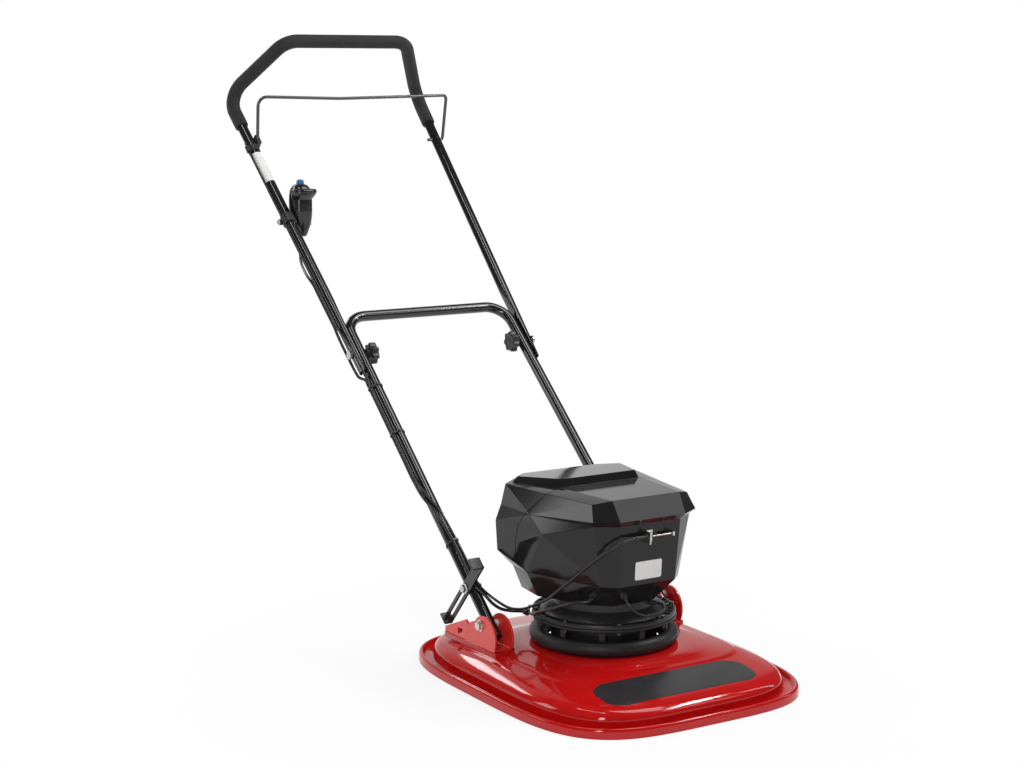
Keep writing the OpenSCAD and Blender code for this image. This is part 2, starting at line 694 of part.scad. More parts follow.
module upper_bearing() {
    color("lightgray") bearing(upper_bearing_r, tray_z + can_h - 4 - bearing_h);
}
module lower_bearing() {
    color("lightgray") bearing(lower_bearing_r, bearing_z);
}
module motor_shaft() {
    color("silver") difference() {
        translate([0, 0, blade_z]) cylinder(r = shaft_r, h = tray_z + can_h - 5 - blade_z);
        translate([0, 0, blade_z - cut]) cylinder(r = blade_bolt_r, h = 40 + cut);
    }
}
module motor_rotor() {
    color("slategray") translate([0, 0, core_z]) rotate_extrude($fn = 96) translate([shaft_r, 0])
        square([core_r - core_gap - shaft_r, core_h]);
}
module impeller() {
    color("black") translate([0, 0, impeller_z]) {
        rotate_extrude($fn = 96) translate([shaft_r, 0]) square([hub_boss_r - shaft_r, hub_boss_h]);
        rotate_extrude($fn = 96) translate([hub_boss_r - cut, 2])
            square([impeller_r - hub_boss_r + cut, impeller_disc_t]);
        for (i = [0 : vane_n - 1])
            rotate([0, 0, 360 * i / vane_n]) translate([impeller_r - 68, 0, 2 + impeller_disc_t - 0.2])
                rotate([0, 0, 20]) rotate_extrude(angle = 130) translate([60, 0]) square([3, vane_h]);
    }
}
module blade_spacers() {
    color("silver") for (i = [0 : spacer_n - 1])
        translate([0, 0, blade_top + i * spacer_t]) rotate_extrude() translate([shaft_r, 0])
            square([hub_boss_r - shaft_r, spacer_t]);
}
module blade() {
    half = blade_l / 2;
    color("dimgray") translate([0, 0, blade_z]) difference() {
        linear_extrude(blade_t) polygon([
            [-half, -blade_w / 2 + 12], [-half + 14, -blade_w / 2], [half, -blade_w / 2], [half, blade_w / 2 - 12],
            [half - 14, blade_w / 2], [-half, blade_w / 2]
        ]);
        translate([0, 0, -cut]) cylinder(r = shaft_r, h = blade_t + 2 * cut);
        for (a = [0, 180])
            rotate([0, 0, a]) translate([half - 90, -blade_w / 2, blade_t]) rotate([25, 0, 0])
                translate([0, -20, 0]) cube([100, 40, 10]);
    }
}
module blade_bolt() {
    color("silver") translate([0, 0, blade_z]) {
        cylinder(r = blade_bolt_r, h = 36);
        translate([0, 0, -washer_t]) cylinder(r = 20, h = washer_t);
        translate([0, 0, -washer_t - head_h]) cylinder(r = 13, h = head_h, $fn = 6);
    }
}

// Housing
module housing_outer() {
    facets(both(lower_half));
    facets(both(hood_half));
}
module housing_inner() {
    facets(both(shrink(lower_half, housing_wall)));
    facets(both(shrink(hood_half, housing_wall)));
}
module lid_side(d) {
    translate([-housing_half_w - 10, 0, 0]) rotate([90, 0, 90]) linear_extrude(2 * housing_half_w + 20)
        polygon([for (i = [0 : len(split_line) - 1]) split_line[i] + (i < 5 ? [d, 0] : [0, 0])]);
}
module tray_form(d, lift) {
    facets(concat(
        both([for (p = tray_low) [p[0] - d, p[1] + (p[1] < 0 ? d : -d), tray_z + lift]]),
        both([for (p = tray_high) [p[0] - d, p[1] + (p[1] < 0 ? d : -d), tray_top + (lift > 0 ? cut : 0)]])
    ));
}
module housing_tray() {
    color("dimgray") difference() {
        union() {
            difference() {
                tray_form(0, 0);
                tray_form(housing_wall, tray_floor);
            }
            for (s = [-1, 1]) {
                translate([s * (knuckle_l + gap) - (s > 0 ? 0 : knuckle_l), hinge_y, hinge_z])
                    along_x(0, knuckle_l, hinge_barrel_r);
                translate([s * (knuckle_l + gap) - (s > 0 ? 0 : knuckle_l), rear_reach - 16, cover_z - 12])
                    cube([knuckle_l, 23, 8]);
                translate([s * (knuckle_l + gap) - (s > 0 ? 0 : knuckle_l), hinge_y - 4, cover_z - 12])
                    cube([knuckle_l, 8, hinge_z - cover_z + 12]);
            }
        }
        translate([0, 0, tray_z - cut]) cylinder(r = can_foot_r + 1, h = tray_floor + 2 * cut);
        translate([-100, hinge_y, hinge_z]) along_x(0, 200, hinge_pin_r);
    }
}
module front_cover() {
    color("black") difference() {
        difference() {
            housing_outer();
            housing_inner();
        }
        lid_side(-lid_gap);
        translate([slot_x[0], face_y - 20, lever_z - slot_h / 2]) cube([slot_x[1] - slot_x[0], 40, slot_h]);
    }
}
module battery_lid() {
    color("black") difference() {
        union() {
            intersection() {
                union() {
                    housing_outer();
                    facets(both(plateau_half));
                }
                lid_side(0);
            }
            translate([-knuckle_l, hinge_y, hinge_z]) along_x(0, 2 * knuckle_l, hinge_barrel_r);
            translate([-knuckle_l, rear_reach - 12, hinge_z]) cube([2 * knuckle_l, hinge_y - rear_reach + 12, 5]);
        }
        housing_inner();
        facets(both(shrink(plateau_half, housing_wall, battery_y)));
        for (s = [-1, 1])
            translate([s * (knuckle_l + gap / 2) - (s > 0 ? 0 : knuckle_l + gap), rear_reach - 16, cover_z - 15])
                cube([knuckle_l + gap, 40, hinge_z - cover_z + hinge_barrel_r + 16]);
        translate([-100, hinge_y, hinge_z]) along_x(0, 200, hinge_pin_r + run);
    }
}
module lid_hinge_pin() {
    color("silver") translate([-2 * knuckle_l - gap, hinge_y, hinge_z])
        along_x(0, 4 * knuckle_l + 2 * gap, hinge_pin_r);
}
module battery_cradle() {
    color("darkslategray") difference() {
        union() {
            translate([-cradle_half[0], battery_y - cradle_half[1], cradle_z])
                cube([2 * cradle_half[0], 2 * cradle_half[1], cradle_t]);
            for (s = [-1, 1], y = [cradle_leg[1], cradle_leg[2]])
                translate([s * cradle_leg[0] - 6, y, tray_z + tray_floor])
                    cube([12, 10, cradle_z - tray_z - tray_floor + cut]);
        }
        translate([-30, battery_y - 20, cradle_z - cut]) cube([60, 40, cradle_t + 2 * cut]);
    }
}
module battery_pack() {
    color("darkslategray") translate([-battery[0] / 2, battery_y - battery[1] / 2, cradle_z + cradle_t]) difference() {
        cube(battery);
        for (s = [-1, 1])
            translate([battery[0] / 2 + s * 60 - 4, -cut, 20]) cube([8, 6, battery[2]]);
        translate([battery[0] / 2 - 45, battery[1] / 2 - 12, battery[2] - 14]) cube([90, 24, 15]);
    }
}
module controller() {
    color("gray") translate([-controller_w / 2, controller_y, controller_z]) difference() {
        cube([controller_w, controller_t, lever_z - 16 - controller_z]);
        for (i = [0 : 5])
            translate([8 + i * 15, -cut, 14]) cube([9, 9, 140]);
    }
}
module cable_bracket() {
    color("silver") difference() {
        translate([0, face_y, lever_z]) rotate([atan(-face_slope), 0, 0]) {
            translate([bracket_x, -20, -12]) cube([3, 20 - 0.05, 22]);
            translate([bracket_x, -2.05, -12]) cube([18, 2, 22]);
        }
        translate([bracket_x - cut, cable_y, lever_z]) along_x(0, 3 + 2 * cut, 3.02);
    }
}
module cable_barrel() {
    color("black") translate([0, cable_y, lever_z]) difference() {
        union() {
            along_x(bracket_x - 26, bracket_x - 9, 3.6);
            along_x(bracket_x - 10, bracket_x + 10, 3);
            along_x(bracket_x - 4, bracket_x, 5.5, 6);
            along_x(bracket_x + 3, bracket_x + 6, 5.5, 6);
        }
        along_x(bracket_x - 30, bracket_x + 12, 1.25);
    }
}
module run_switch() {
    color("dimgray") translate([slot_x[0] - 14, face_y + 8, lever_z - 16]) difference() {
        cube([slot_x[1] - slot_x[0] + 28, 40, 32]);
        translate([12, -cut, 16 - slot_h / 2]) cube([slot_x[1] - slot_x[0] + 4, 8, slot_h]);
    }
}
module run_lever() {
    x = slot_x[1] - 8;
    color("silver") {
        translate([x, cable_y - 4, lever_z - slot_h / 2 + 0.1]) cube([4, face_y - cable_y + 15, slot_h - 0.2]);
        translate([0, cable_y, lever_z]) along_x(bracket_x, x + 2, 1.2);
    }
}

// Handle brackets
module ear(rear) {
    difference() {
        union() {
            intersection() {
                translate([hump_y, hump_z]) circle(r = hump_r);
                translate([hump_y - hump_r, pad_z]) square([2 * hump_r, 2 * hump_r]);
            }
            if (rear)
                polygon([
                    [hump_y, pad_z], [bracket_rear, pad_z], [bracket_rear, pivot_z - 32], [pivot_y + 53, pivot_z - 1],
                    [pivot_y + 44, pivot_z - 8], [pivot_y + 36, pivot_z - 1], [hump_y, hump_z + hump_r - 6]
                ]);
            else
                polygon([
                    [hump_y, pad_z], [bracket_rear - 62, pad_z], [bracket_rear - 70, pad_z + 14], [hump_y + 34, pivot_z]
                ]);
        }
        translate([pivot_y, pivot_z]) circle(r = pivot_r + 0.1);
        if (rear)
            translate([pivot_y + 66, pad_z + 6]) square([17, 12]);
    }
}
module bracket(s) {
    color("firebrick") difference() {
        union() {
            translate([s * (lower_x + ear_gap / 2) - (s > 0 ? 0 : ear_t), 0, 0]) rotate([90, 0, 90])
                linear_extrude(ear_t) ear(true);
            translate([s * (lower_x - ear_gap / 2) - (s > 0 ? ear_t : 0), 0, 0]) rotate([90, 0, 90])
                linear_extrude(ear_t) ear(false);
            translate([s * lower_x - ear_gap / 2, hump_y - hump_r + 8, pad_z])
                cube([ear_gap, bracket_rear - hump_y + hump_r - 8, base_t]);
        }
        for (y = bracket_screw_y)
            translate([s * lower_x, y, pad_z - cut]) cylinder(r = bracket_screw_r + 0.1, h = base_t + 2 * cut);
    }
}
module bracket_left() {
    bracket(-1);
}
module bracket_right() {
    bracket(1);
}
module bracket_screws() {
    color("silver") for (s = [-1, 1], y = bracket_screw_y)
        translate([s * lower_x, y, pad_z]) {
            translate([0, 0, -11]) cylinder(r = bracket_screw_r, h = 11 + base_t);
            translate([0, 0, base_t]) cylinder(r = 7.5, h = 5, $fn = 6);
        }
}
module pivot_bolts() {
    reach = ear_gap / 2 + ear_t;
    color("silver") for (s = [-1, 1])
        translate([s * lower_x, pivot_y, pivot_z]) mirror([s > 0 ? 1 : 0, 0, 0]) {
            along_x(-reach - washer, reach + nut_t + 2, pivot_r);
            along_x(-reach - washer, -reach, 11);
            along_x(-reach - washer - bolt_head_t, -reach - washer, 8.5, 6);
            along_x(reach, reach + nut_t, 8.5, 6);
        }
}
module pivot_bushes() {
    color("ivory") for (s = [-1, 1])
        translate([s * lower_x, pivot_y, pivot_z]) difference() {
            along_x(-bush_l / 2, bush_l / 2, bush_r);
            along_x(-bush_l, bush_l, pivot_r + run);
        }
}

// Lower handle and lock plate
module lower_form(r, more) {
    bent_rod(
        [[-lower_x, -tail_l - more, 0], [-lower_x, lower_l, 0], [lower_x, lower_l, 0], [lower_x, -tail_l - more, 0]],
        [0, tube_bend, tube_bend, 0], r
    );
}
module lower_handle() {
    color("black") in_lower() difference() {
        lower_form(tube_r, 0);
        lower_form(bore_r, cut);
        for (s = [-1, 1]) {
            translate([s * lower_x, 0, 0]) along_x(-tube_d, tube_d, bush_r + 0.02);
            translate([s * lower_x, fold_s, 0]) along_x(-tube_d, tube_d, fold_r + run);
        }
        translate([-lower_x, lock_s, 0]) along_x(-tube_d, tube_d, lock_bolt_r + run);
    }
}
module lock_plate() {
    color("black") in_lower() translate([lock_x, lock_s, 0]) difference() {
        union() {
            translate([-lock_t / 2, -lock_w / 2, -lock_low]) cube([lock_t, lock_w, lock_low + lock_high]);
            translate([-lock_t / 2 - lock_foot, -lock_w / 2, -lock_low]) cube([lock_foot + cut, lock_w, lock_t]);
            translate([-lock_t / 2 - lock_tab, -lock_w / 2, lock_high - lock_t]) cube([lock_tab + cut, lock_w, lock_t]);
        }
        translate([-lock_t, -lock_bolt_r - 0.2, -lock_slot]) cube([2 * lock_t, 2 * lock_bolt_r + 0.4, lock_slot + 0.1]);
        along_x(-lock_t, lock_t, lock_bolt_r + 0.2);
    }
}
module lock_bolt() {
    color("silver") in_lower() translate([-lower_x, lock_s, 0]) {
        along_x(-tube_r - gap - lock_t - gap - 3, tube_r + 6, lock_bolt_r);
        along_x(-tube_r - 2 * gap - lock_t - 2, -tube_r - 2 * gap - lock_t, 10);
        along_x(-tube_r - 2 * gap - lock_t - 8, -tube_r - 2 * gap - lock_t - 2, 7.5, 6);
        along_x(tube_r + gap, tube_r + 6, 7.5, 6);
    }
}
module fold_bolts() {
    color("silver") in_lower() for (s = [-1, 1])
        translate([0, fold_s, 0]) mirror([s > 0 ? 1 : 0, 0, 0]) {
            along_x(-fold_face - cut, -lower_x + tube_r + gap + knob_hub_h + knob_t - 5, fold_r);
            along_x(-fold_face - fold_head_t, -fold_face, fold_head_r);
        }
}
module knob(s) {
    face = lower_x - tube_r - gap;
    star = [
        for (i = [0 : knob_points - 1])
            let (turn = 360 * i / knob_points, r = knob_d / 2 - knob_wave + knob_wave * cos(knob_lobes * turn))
            [r * cos(turn), r * sin(turn)]
    ];
    color("black") in_lower() translate([0, fold_s, 0]) mirror([s > 0 ? 1 : 0, 0, 0]) difference() {
        union() {
            along_x(-face, -face + knob_hub_h + cut, 10);
            translate([-face + knob_hub_h, 0, 0]) rotate([90, 0, 90]) linear_extrude(knob_t) polygon(star);
        }
        along_x(-face - cut, -face + knob_hub_h + knob_t - 4, fold_r + run);
    }
}
module knob_left() {
    knob(-1);
}
module knob_right() {
    knob(1);
}

// Upper handle, grip and bail
function other_side(p) = [-p[0], p[1], p[2]];
module upper_loop(r, start) {
    first = [leg_x(start), start, 0];
    route = bent_route(
        [other_side(first), other_side(grip_corner), other_side(grip_top), grip_top, grip_corner, first],
        [0, tube_bend, tube_bend, tube_bend, tube_bend, 0], loop_steps
    );
    cord(route, r / cos(180 / loop_sides), loop_sides);
}
module upper_legs(r, from, to) {
    for (s = [-1, 1])
        rod([s * leg_x(from), from, 0], [s * leg_x(to), to, 0], r);
}
module upper_handle() {
    flat = lower_x + tube_r + gap;
    color("black") in_upper() difference() {
        union() {
            upper_legs(tube_r, -crimp_tail, loop_t);
            upper_loop(tube_r + run, loop_t - 8);
        }
        upper_legs(bore_r, crimp_l + 8, bail_t - plug_half);
        upper_legs(bore_r, bail_t + plug_half, loop_t - 4);
        upper_loop(bore_r - gap, loop_t - 6);
        translate([-flat, -crimp_tail - 20, -tube_d]) cube([2 * flat, crimp_l + crimp_tail + 20, 2 * tube_d]);
        for (s = [-1, 1]) {
            translate([s * fold_x, 0, 0]) along_x(-tube_d, tube_d, fold_r + run);
            translate([s * leg_x(bail_t), bail_t, 0]) along_x(-tube_d, tube_d, bail_r + run);
        }
    }
}
module foam_grip() {
    color("dimgray") in_upper() difference() {
        upper_loop(foam_r, upper_l - foam_l);
        upper_loop(tube_r + 4 * run, upper_l - foam_l - cut);
    }
}
module bail_wire(r) {
    cord(bent_route(bail_path, bail_bends, bail_steps), r / cos(180 / bail_sides), bail_sides);
}
module bail() {
    inner = leg_x(bail_t) - tube_r;
    outer = leg_x(bail_t) + tube_r;
    color("silver") in_upper() {
        bail_wire(bail_r + 0.03);
        translate([0, bail_t, 0]) {
            along_x(-outer - 3, -inner + bail_gap * 2, bail_r);
            along_x(inner - 8, outer + bail_gap * 2, bail_r);
            along_x(inner - 5, inner - 2, bail_r + 2.5);
            along_x(-outer - 3, -outer - 1, bail_r + 2.5);
        }
    }
}
module bail_hub() {
    color("black") in_upper() difference() {
        translate([-bail_in - hub_block[0] / 2 - hub_in, bail_t - hub_block[1] / 2 + 4, -hub_block[2] / 2])
            cube(hub_block);
        bail_wire(bail_r + 0.1);
        translate([0, bail_t, 0]) along_x(-leg_x(bail_t), -bail_in, bail_r + 0.06);
    }
}
module cable_stop() {
    color("black") in_upper() translate([-leg_x(stop_t), stop_t, 0]) difference() {
        union() {
            rotate([90, 0, 0]) cylinder(r = tube_r + 2, h = stop_l, center = true);
            translate([cable_side[0], 0, cable_side[1]]) rotate([90, 0, 0])
                cylinder(r = cable_r + 2.5, h = stop_l, center = true);
        }
        rotate([0, 0, atan(splay)]) rotate([90, 0, 0]) cylinder(r = tube_r + 0.02, h = 60, center = true);
        translate([cable_side[0], -stop_l / 2 - cut, cable_side[1]]) rotate([-90, 0, 0])
            cylinder(r = cable_r + 0.05, h = 10);
    }
}

// Switch box
module box_form(d) {
    facets([
        for (level = [[12, 13, 0], [19, 21, 22], [19, 21, box_h - 14], [13, 15, box_h]], i = [-1, 1], j = [-1, 1], c = [0, 1])
            [
                box_at[0] + i * (box_half[0] - 19 + level[0] - d - (c == 0 ? 5 : 0)),
                box_at[1] + j * (box_half[1] - 21 + level[1] - d - (c == 1 ? 5 : 0)),
                box_low + (level[2] > 50 ? level[2] - d : level[2] + d)
            ]
    ]);
}
module box_half_space(front) {
    translate([box_at[0] - 60, box_at[1] + (front ? -120 : 0), box_low - 20]) cube([120, 120, box_h + 60]);
}
module box_shell(front) {
    difference() {
        intersection() {
            union() {
                box_form(0);
                facets([
                    for (x = [-11, 11], p = [[-18, box_h - 26], [-18, box_h - 8], [-36, box_h - 17], [-35, box_h - 11]])
                        [box_at[0] + x, box_at[1] + p[0], box_low + p[1]]
                ]);
            }
            box_half_space(front);
        }
        box_form(box_wall);
        translate([box_at[0], box_at[1], box_low + box_h - 30]) cylinder(r = button_r + 0.08, h = 60);
        translate([box_at[0], box_at[1], box_low - cut]) cylinder(r = lead_r + 0.05, h = 20);
    }
}
module switch_front() {
    color("black") box_shell(true);
}
module switch_back() {
    color("black") box_shell(false);
}
module switch_core() {
    color("dimgray") translate([box_at[0] - box_half[0] + box_wall, box_at[1] - 11, box_low + 24])
        cube([2 * (box_half[0] - box_wall), 22, box_h - 50]);
}
module start_button() {
    top = box_low + box_h;
    color("steelblue") translate([box_at[0], box_at[1], 0]) {
        translate([0, 0, top - 20]) cylinder(r = button_r, h = 24);
        translate([0, 0, top + 4]) intersection() {
            translate([0, 0, -button_r * 1.2]) sphere(r = button_r * 1.562);
            cylinder(r = button_r, h = 10);
        }
    }
}
module switch_clamp() {
    x = -leg_x(clamp_t);
    place = upper_point([x, clamp_t, 0]);
    color("black") difference() {
        union() {
            in_upper() translate([x, clamp_t, 0]) rotate([90, 0, 0])
                cylinder(r = tube_r + clamp_wall, h = clamp_l, center = true);
            in_upper() translate([x, clamp_t, clamp_drop]) along_x(-tube_r - clamp_wall - 4, 0, 6.5);
            translate([place[0], box_at[1] - 9, place[2] - 10]) cube([box_at[0] - box_half[0] - place[0], 18, 20]);
        }
        in_upper() translate([x, clamp_t, 0]) rotate([0, 0, atan(splay)]) rotate([90, 0, 0])
            cylinder(r = tube_r + 0.02, h = 80, center = true);
        in_upper() translate([x, clamp_t, clamp_drop]) along_x(-tube_r - clamp_wall - 10, 0, 2.6);
        box_form(-0.2);
        in_upper() translate([x + cable_side[0], clamp_t, cable_side[1]]) rotate([0, 0, atan(splay)])
            rotate([90, 0, 0]) cylinder(r = cable_r + 0.1, h = 80, center = true);
    }
}
module clamp_screw() {
    x = -leg_x(clamp_t) - tube_r - clamp_wall - 4;
    color("silver") in_upper() translate([x, clamp_t, clamp_drop]) {
        along_x(-4, 0, 5, 6);
        along_x(-1, clamp_wall + 3, 2.5);
    }
}

// Cables held along the handle, and their free stretches
function beside_upper(side, t) = upper_point([-leg_x(t) + side[0], t, side[1]]);
function beside_lower(side, s) = lower_point([-lower_x + side[0], s, side[1]]);
fold_reach = 75;
stop_end = stop_t - stop_l / 2;
module control_cable_upper() {
    run_l = stop_end + 6 - fold_reach;
    color("black") cord([for (f = [1, 0.7, 0.35, 0]) beside_upper(cable_side, fold_reach + run_l * f)], cable_r);
}
module control_cable_fold() {
    color("black") cord(concat(
        [beside_upper(cable_side, fold_reach)], [for (p = cable_fold_points) upper_point(p)],
        [beside_lower(cable_side, fold_s - fold_reach)]
    ), cable_r);
}
end_gap = 0.9;
cable_leave = lower_point([cable_lower_points[4][0], leave_s, cable_lower_points[4][2]]);
lead_leave = lower_point([lead_lower_points[4][0], leave_s, lead_lower_points[4][2]]);
cable_last = lower_point([cable_lower_points[4][0], leave_s + end_gap, cable_lower_points[4][2]]);
lead_last = lower_point([lead_lower_points[4][0], leave_s + end_gap, lead_lower_points[4][2]]);
module control_cable_lower() {
    color("black") cord(concat(
        [beside_lower(cable_side, fold_s - fold_reach - end_gap), beside_lower(cable_side, 400)],
        [for (p = cable_lower_points) lower_point(p)], [cable_last]
    ), cable_r);
}
module control_cable_free() {
    color("black") cord(
        concat([cable_leave], cable_free_points, [for (x = [33, 26 + gap]) [bracket_x - x, cable_y, lever_z]]), cable_r
    );
}
module switch_lead_upper() {
    color("black") cord(concat(
        [[box_at[0], box_at[1], box_low + 14], [box_at[0], box_at[1], box_low - 4]],
        [for (p = lead_upper_points) upper_point(p)],
        [for (t = [195, 170, fold_reach]) beside_upper(lead_side, t)]
    ), lead_r);
}
module switch_lead_fold() {
    color("black") cord(concat(
        [beside_upper(lead_side, fold_reach)], [for (p = lead_fold_points) upper_point(p)],
        [for (more = [10, end_gap]) beside_lower(lead_side, fold_s - fold_reach + more)]
    ), lead_r);
}
module switch_lead_lower() {
    color("black") cord(concat(
        [beside_lower(lead_side, fold_s - fold_reach - end_gap), beside_lower(lead_side, 400)],
        [for (p = lead_lower_points) lower_point(p)], [lead_last]
    ), lead_r);
}
module switch_lead_free() {
    color("black") cord(concat([lead_leave], lead_free_points, [side_gland + side_out * 20, side_gland + side_out * 2.6]), lead_r);
}
// A strap round a tube and the cables beside it
module strap(sides) {
    rotate([90, 0, 0]) linear_extrude(tie_w, center = true) difference() {
        hull() {
            circle(r = tube_r + 0.2 + tie_t, $fn = 32);
            for (k = [0 : len(sides) - 1])
                translate(sides[k]) circle(r = lead_r + 0.2 + tie_t, $fn = 16);
        }
        hull() {
            circle(r = tube_r + 0.2, $fn = 32);
            for (k = [0 : len(sides) - 1])
                translate(sides[k]) circle(r = lead_r + 0.2, $fn = 16);
        }
    }
}
module cable_ties() {
    low_cable = [cable_lower_points[3][0] + lower_x, cable_lower_points[3][2]];
    low_lead = [lead_lower_points[3][0] + lower_x, lead_lower_points[3][2]];
    color("black") in_lower() {
        for (s = tie_s)
            translate([-lower_x, s, 0]) strap([cable_side, lead_side]);
        translate([-lower_x, tie_low_s, 0]) strap([low_cable, low_lead]);
    }
}
module motor_lead() {
    color("black") cord(concat(
        [front_gland + front_out * 2, front_gland + front_out * (gland_l + 2)], motor_lead_points,
        [for (r = [22, 9]) (plug_r + r) * [cos(plug_turn), sin(plug_turn), 0] + [0, 0, plug_z]]
    ), lead_r - 0.5);
}
module lead_fittings() {
    color("black") {
        difference() {
            rod(side_gland + side_out * 0.05, side_gland + side_out * gland_l, 5.5);
            rod(side_gland + side_out * 1.9, side_gland + side_out * (gland_l + cut), lead_r + 0.8);
        }
        difference() {
            rod(front_gland + front_out * 0.05, front_gland + front_out * gland_l, 5.5);
            rod(front_gland + front_out * 1.9, front_gland + front_out * (gland_l + cut), lead_r);
        }
        difference() {
            rotate([0, 0, plug_turn]) translate([plug_r, 0, plug_z]) along_x(0, 13, 4.5);
            rotate([0, 0, plug_turn]) translate([plug_r + 8.9, 0, plug_z]) along_x(0, 10, lead_r - 0.2);
        }
        difference() {
            union() {
                translate([clip_at[0], clip_at[1], clip_at[2]]) rotate([90, 0, 0]) cylinder(r = 6, h = 9, center = true);
                rotate([0, 0, clip_turn]) translate([flange_r - 6, -4, neck_z]) cube([12, 8, 2.5]);
                rotate([0, 0, clip_turn]) translate([flange_r + 3, -4, clip_at[2]]) cube([3, 8, neck_z + 2.5 - clip_at[2]]);
            }
            translate(clip_at) rotate([90, 0, 0]) cylinder(r = lead_r + 1, h = 20, center = true);
        }
    }
}

deck_shell();
air_ring();
ring_screws();
motor_base();
base_bolts();
motor_can();
motor_screws();
stator();
upper_bearing();
lower_bearing();
motor_shaft();
motor_rotor();
impeller();
blade_spacers();
blade();
blade_bolt();
housing_tray();
front_cover();
battery_lid();
lid_hinge_pin();
battery_cradle();
battery_pack();
controller();
cable_bracket();
cable_barrel();
run_switch();
run_lever();
bracket_left();
bracket_right();
bracket_screws();
pivot_bolts();
pivot_bushes();
lower_handle();
lock_plate();
lock_bolt();
fold_bolts();
knob_left();
knob_right();
upper_handle();
foam_grip();
bail();
bail_hub();
cable_stop();
switch_front();
switch_back();
switch_core();
start_button();
switch_clamp();
clamp_screw();
control_cable_upper();
control_cable_fold();
control_cable_lower();
control_cable_free();
switch_lead_upper();
switch_lead_fold();
switch_lead_lower();
switch_lead_free();
cable_ties();
motor_lead();
lead_fittings();
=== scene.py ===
"""Looks of the hover mower: smooth mouldings, tubes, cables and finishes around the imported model."""

import json
import math

import bmesh
import bpy
from mathutils import Matrix, Vector
from mathutils.bvhtree import BVHTree


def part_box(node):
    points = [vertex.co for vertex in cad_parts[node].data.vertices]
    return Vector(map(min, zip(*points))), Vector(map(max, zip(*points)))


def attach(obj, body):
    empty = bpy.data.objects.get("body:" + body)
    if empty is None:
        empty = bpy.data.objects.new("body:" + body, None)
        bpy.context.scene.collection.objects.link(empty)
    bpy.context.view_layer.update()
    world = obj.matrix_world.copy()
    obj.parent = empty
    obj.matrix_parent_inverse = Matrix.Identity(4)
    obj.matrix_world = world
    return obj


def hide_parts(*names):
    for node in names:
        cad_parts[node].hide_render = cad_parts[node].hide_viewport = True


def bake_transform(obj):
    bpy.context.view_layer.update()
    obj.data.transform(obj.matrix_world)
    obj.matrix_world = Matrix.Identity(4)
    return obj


bl_info = {
    "name": "Hover Mower",
    "version": (1, 0, 0),
    "blender": (4, 5, 0),
    "location": "View3D > Sidebar > Mower",
    "description": "Builds the looks of a hover mower around its packed model",
    "category": "Add Mesh",
}

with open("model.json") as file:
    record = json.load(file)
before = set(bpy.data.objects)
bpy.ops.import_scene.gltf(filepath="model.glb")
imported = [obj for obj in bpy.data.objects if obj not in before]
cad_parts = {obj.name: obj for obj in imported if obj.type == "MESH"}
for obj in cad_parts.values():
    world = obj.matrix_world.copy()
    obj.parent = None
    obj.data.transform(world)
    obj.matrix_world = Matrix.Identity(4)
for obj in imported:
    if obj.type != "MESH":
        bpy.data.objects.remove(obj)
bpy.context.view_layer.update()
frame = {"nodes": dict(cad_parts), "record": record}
NODES = frame["nodes"]
DECK_LOW, DECK_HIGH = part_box("deck_shell")
MM = 0.001

# Handle pivot and fold in the side view, in millimetres, and the slopes of the two handle halves
PIVOT = (92.0, 103.0)
LOWER_SLOPE = math.radians(41.5)
FOLD_S = 671.0
FOLD = (PIVOT[0] + FOLD_S * math.cos(LOWER_SLOPE), PIVOT[1] + FOLD_S * math.sin(LOWER_SLOPE))
UPPER_SLOPE = math.radians(43.7)
LOWER_X = 193.5
FOLD_X = 205.5
SPLAY = 0.0448
UPPER_L = 741.0
LOWER_L = 772.0
TUBE_R = 11.0
TUBE_BEND = 48.0
BORE_SHARE = 0.86
BORE_DEPTH = 14.0


class MowerSizes(bpy.types.PropertyGroup):
    """Sizes that a user may change"""

    deck_width: bpy.props.FloatProperty(
        name="Deck width", description="Width of the deck over its rim", unit="LENGTH",
        default=DECK_HIGH.x - DECK_LOW.x,
    )
    deck_length: bpy.props.FloatProperty(
        name="Deck length", description="Length of the deck over its rim", unit="LENGTH",
        default=DECK_HIGH.y - DECK_LOW.y,
    )
    edge_round: bpy.props.FloatProperty(
        name="Edge rounding", description="Rounding of the housing's moulded edges",
        unit="LENGTH", default=0.0013,
    )
    steel_round: bpy.props.FloatProperty(
        name="Steel rounding", description="Rounding of the bracket and bolt edges",
        unit="LENGTH", default=0.0006,
    )
    tube_sides: bpy.props.IntProperty(
        name="Tube sides", description="Faces round a handle tube", default=32, min=12,
    )
    cable_sides: bpy.props.IntProperty(
        name="Cable sides", description="Faces round a cable", default=14, min=8,
    )


class MowerColours(bpy.types.PropertyGroup):
    """Colours of the main finishes"""

    deck_red: bpy.props.FloatVectorProperty(
        name="Deck red", description="Gloss red of the deck moulding",
        subtype="COLOR", default=(0.50, 0.006, 0.006),
    )
    bracket_red: bpy.props.FloatVectorProperty(
        name="Bracket red", description="Paint of the handle brackets",
        subtype="COLOR", default=(0.75, 0.030, 0.022),
    )
    housing: bpy.props.FloatVectorProperty(
        name="Housing charcoal", description="Charcoal of the housing",
        subtype="COLOR", default=(0.013, 0.013, 0.014),
    )
    ring: bpy.props.FloatVectorProperty(
        name="Ring black", description="Black of the air ring",
        subtype="COLOR", default=(0.018, 0.018, 0.019),
    )
    tube: bpy.props.FloatVectorProperty(
        name="Tube black", description="Paint of the handle tubes",
        subtype="COLOR", default=(0.010, 0.010, 0.011),
    )
    foam: bpy.props.FloatVectorProperty(
        name="Foam grey", description="Charcoal of the foam grip",
        subtype="COLOR", default=(0.017, 0.017, 0.018),
    )
    button: bpy.props.FloatVectorProperty(
        name="Button blue", description="Blue of the start button",
        subtype="COLOR", default=(0.03, 0.13, 0.30),
    )


# Places in the frames of the two handle halves


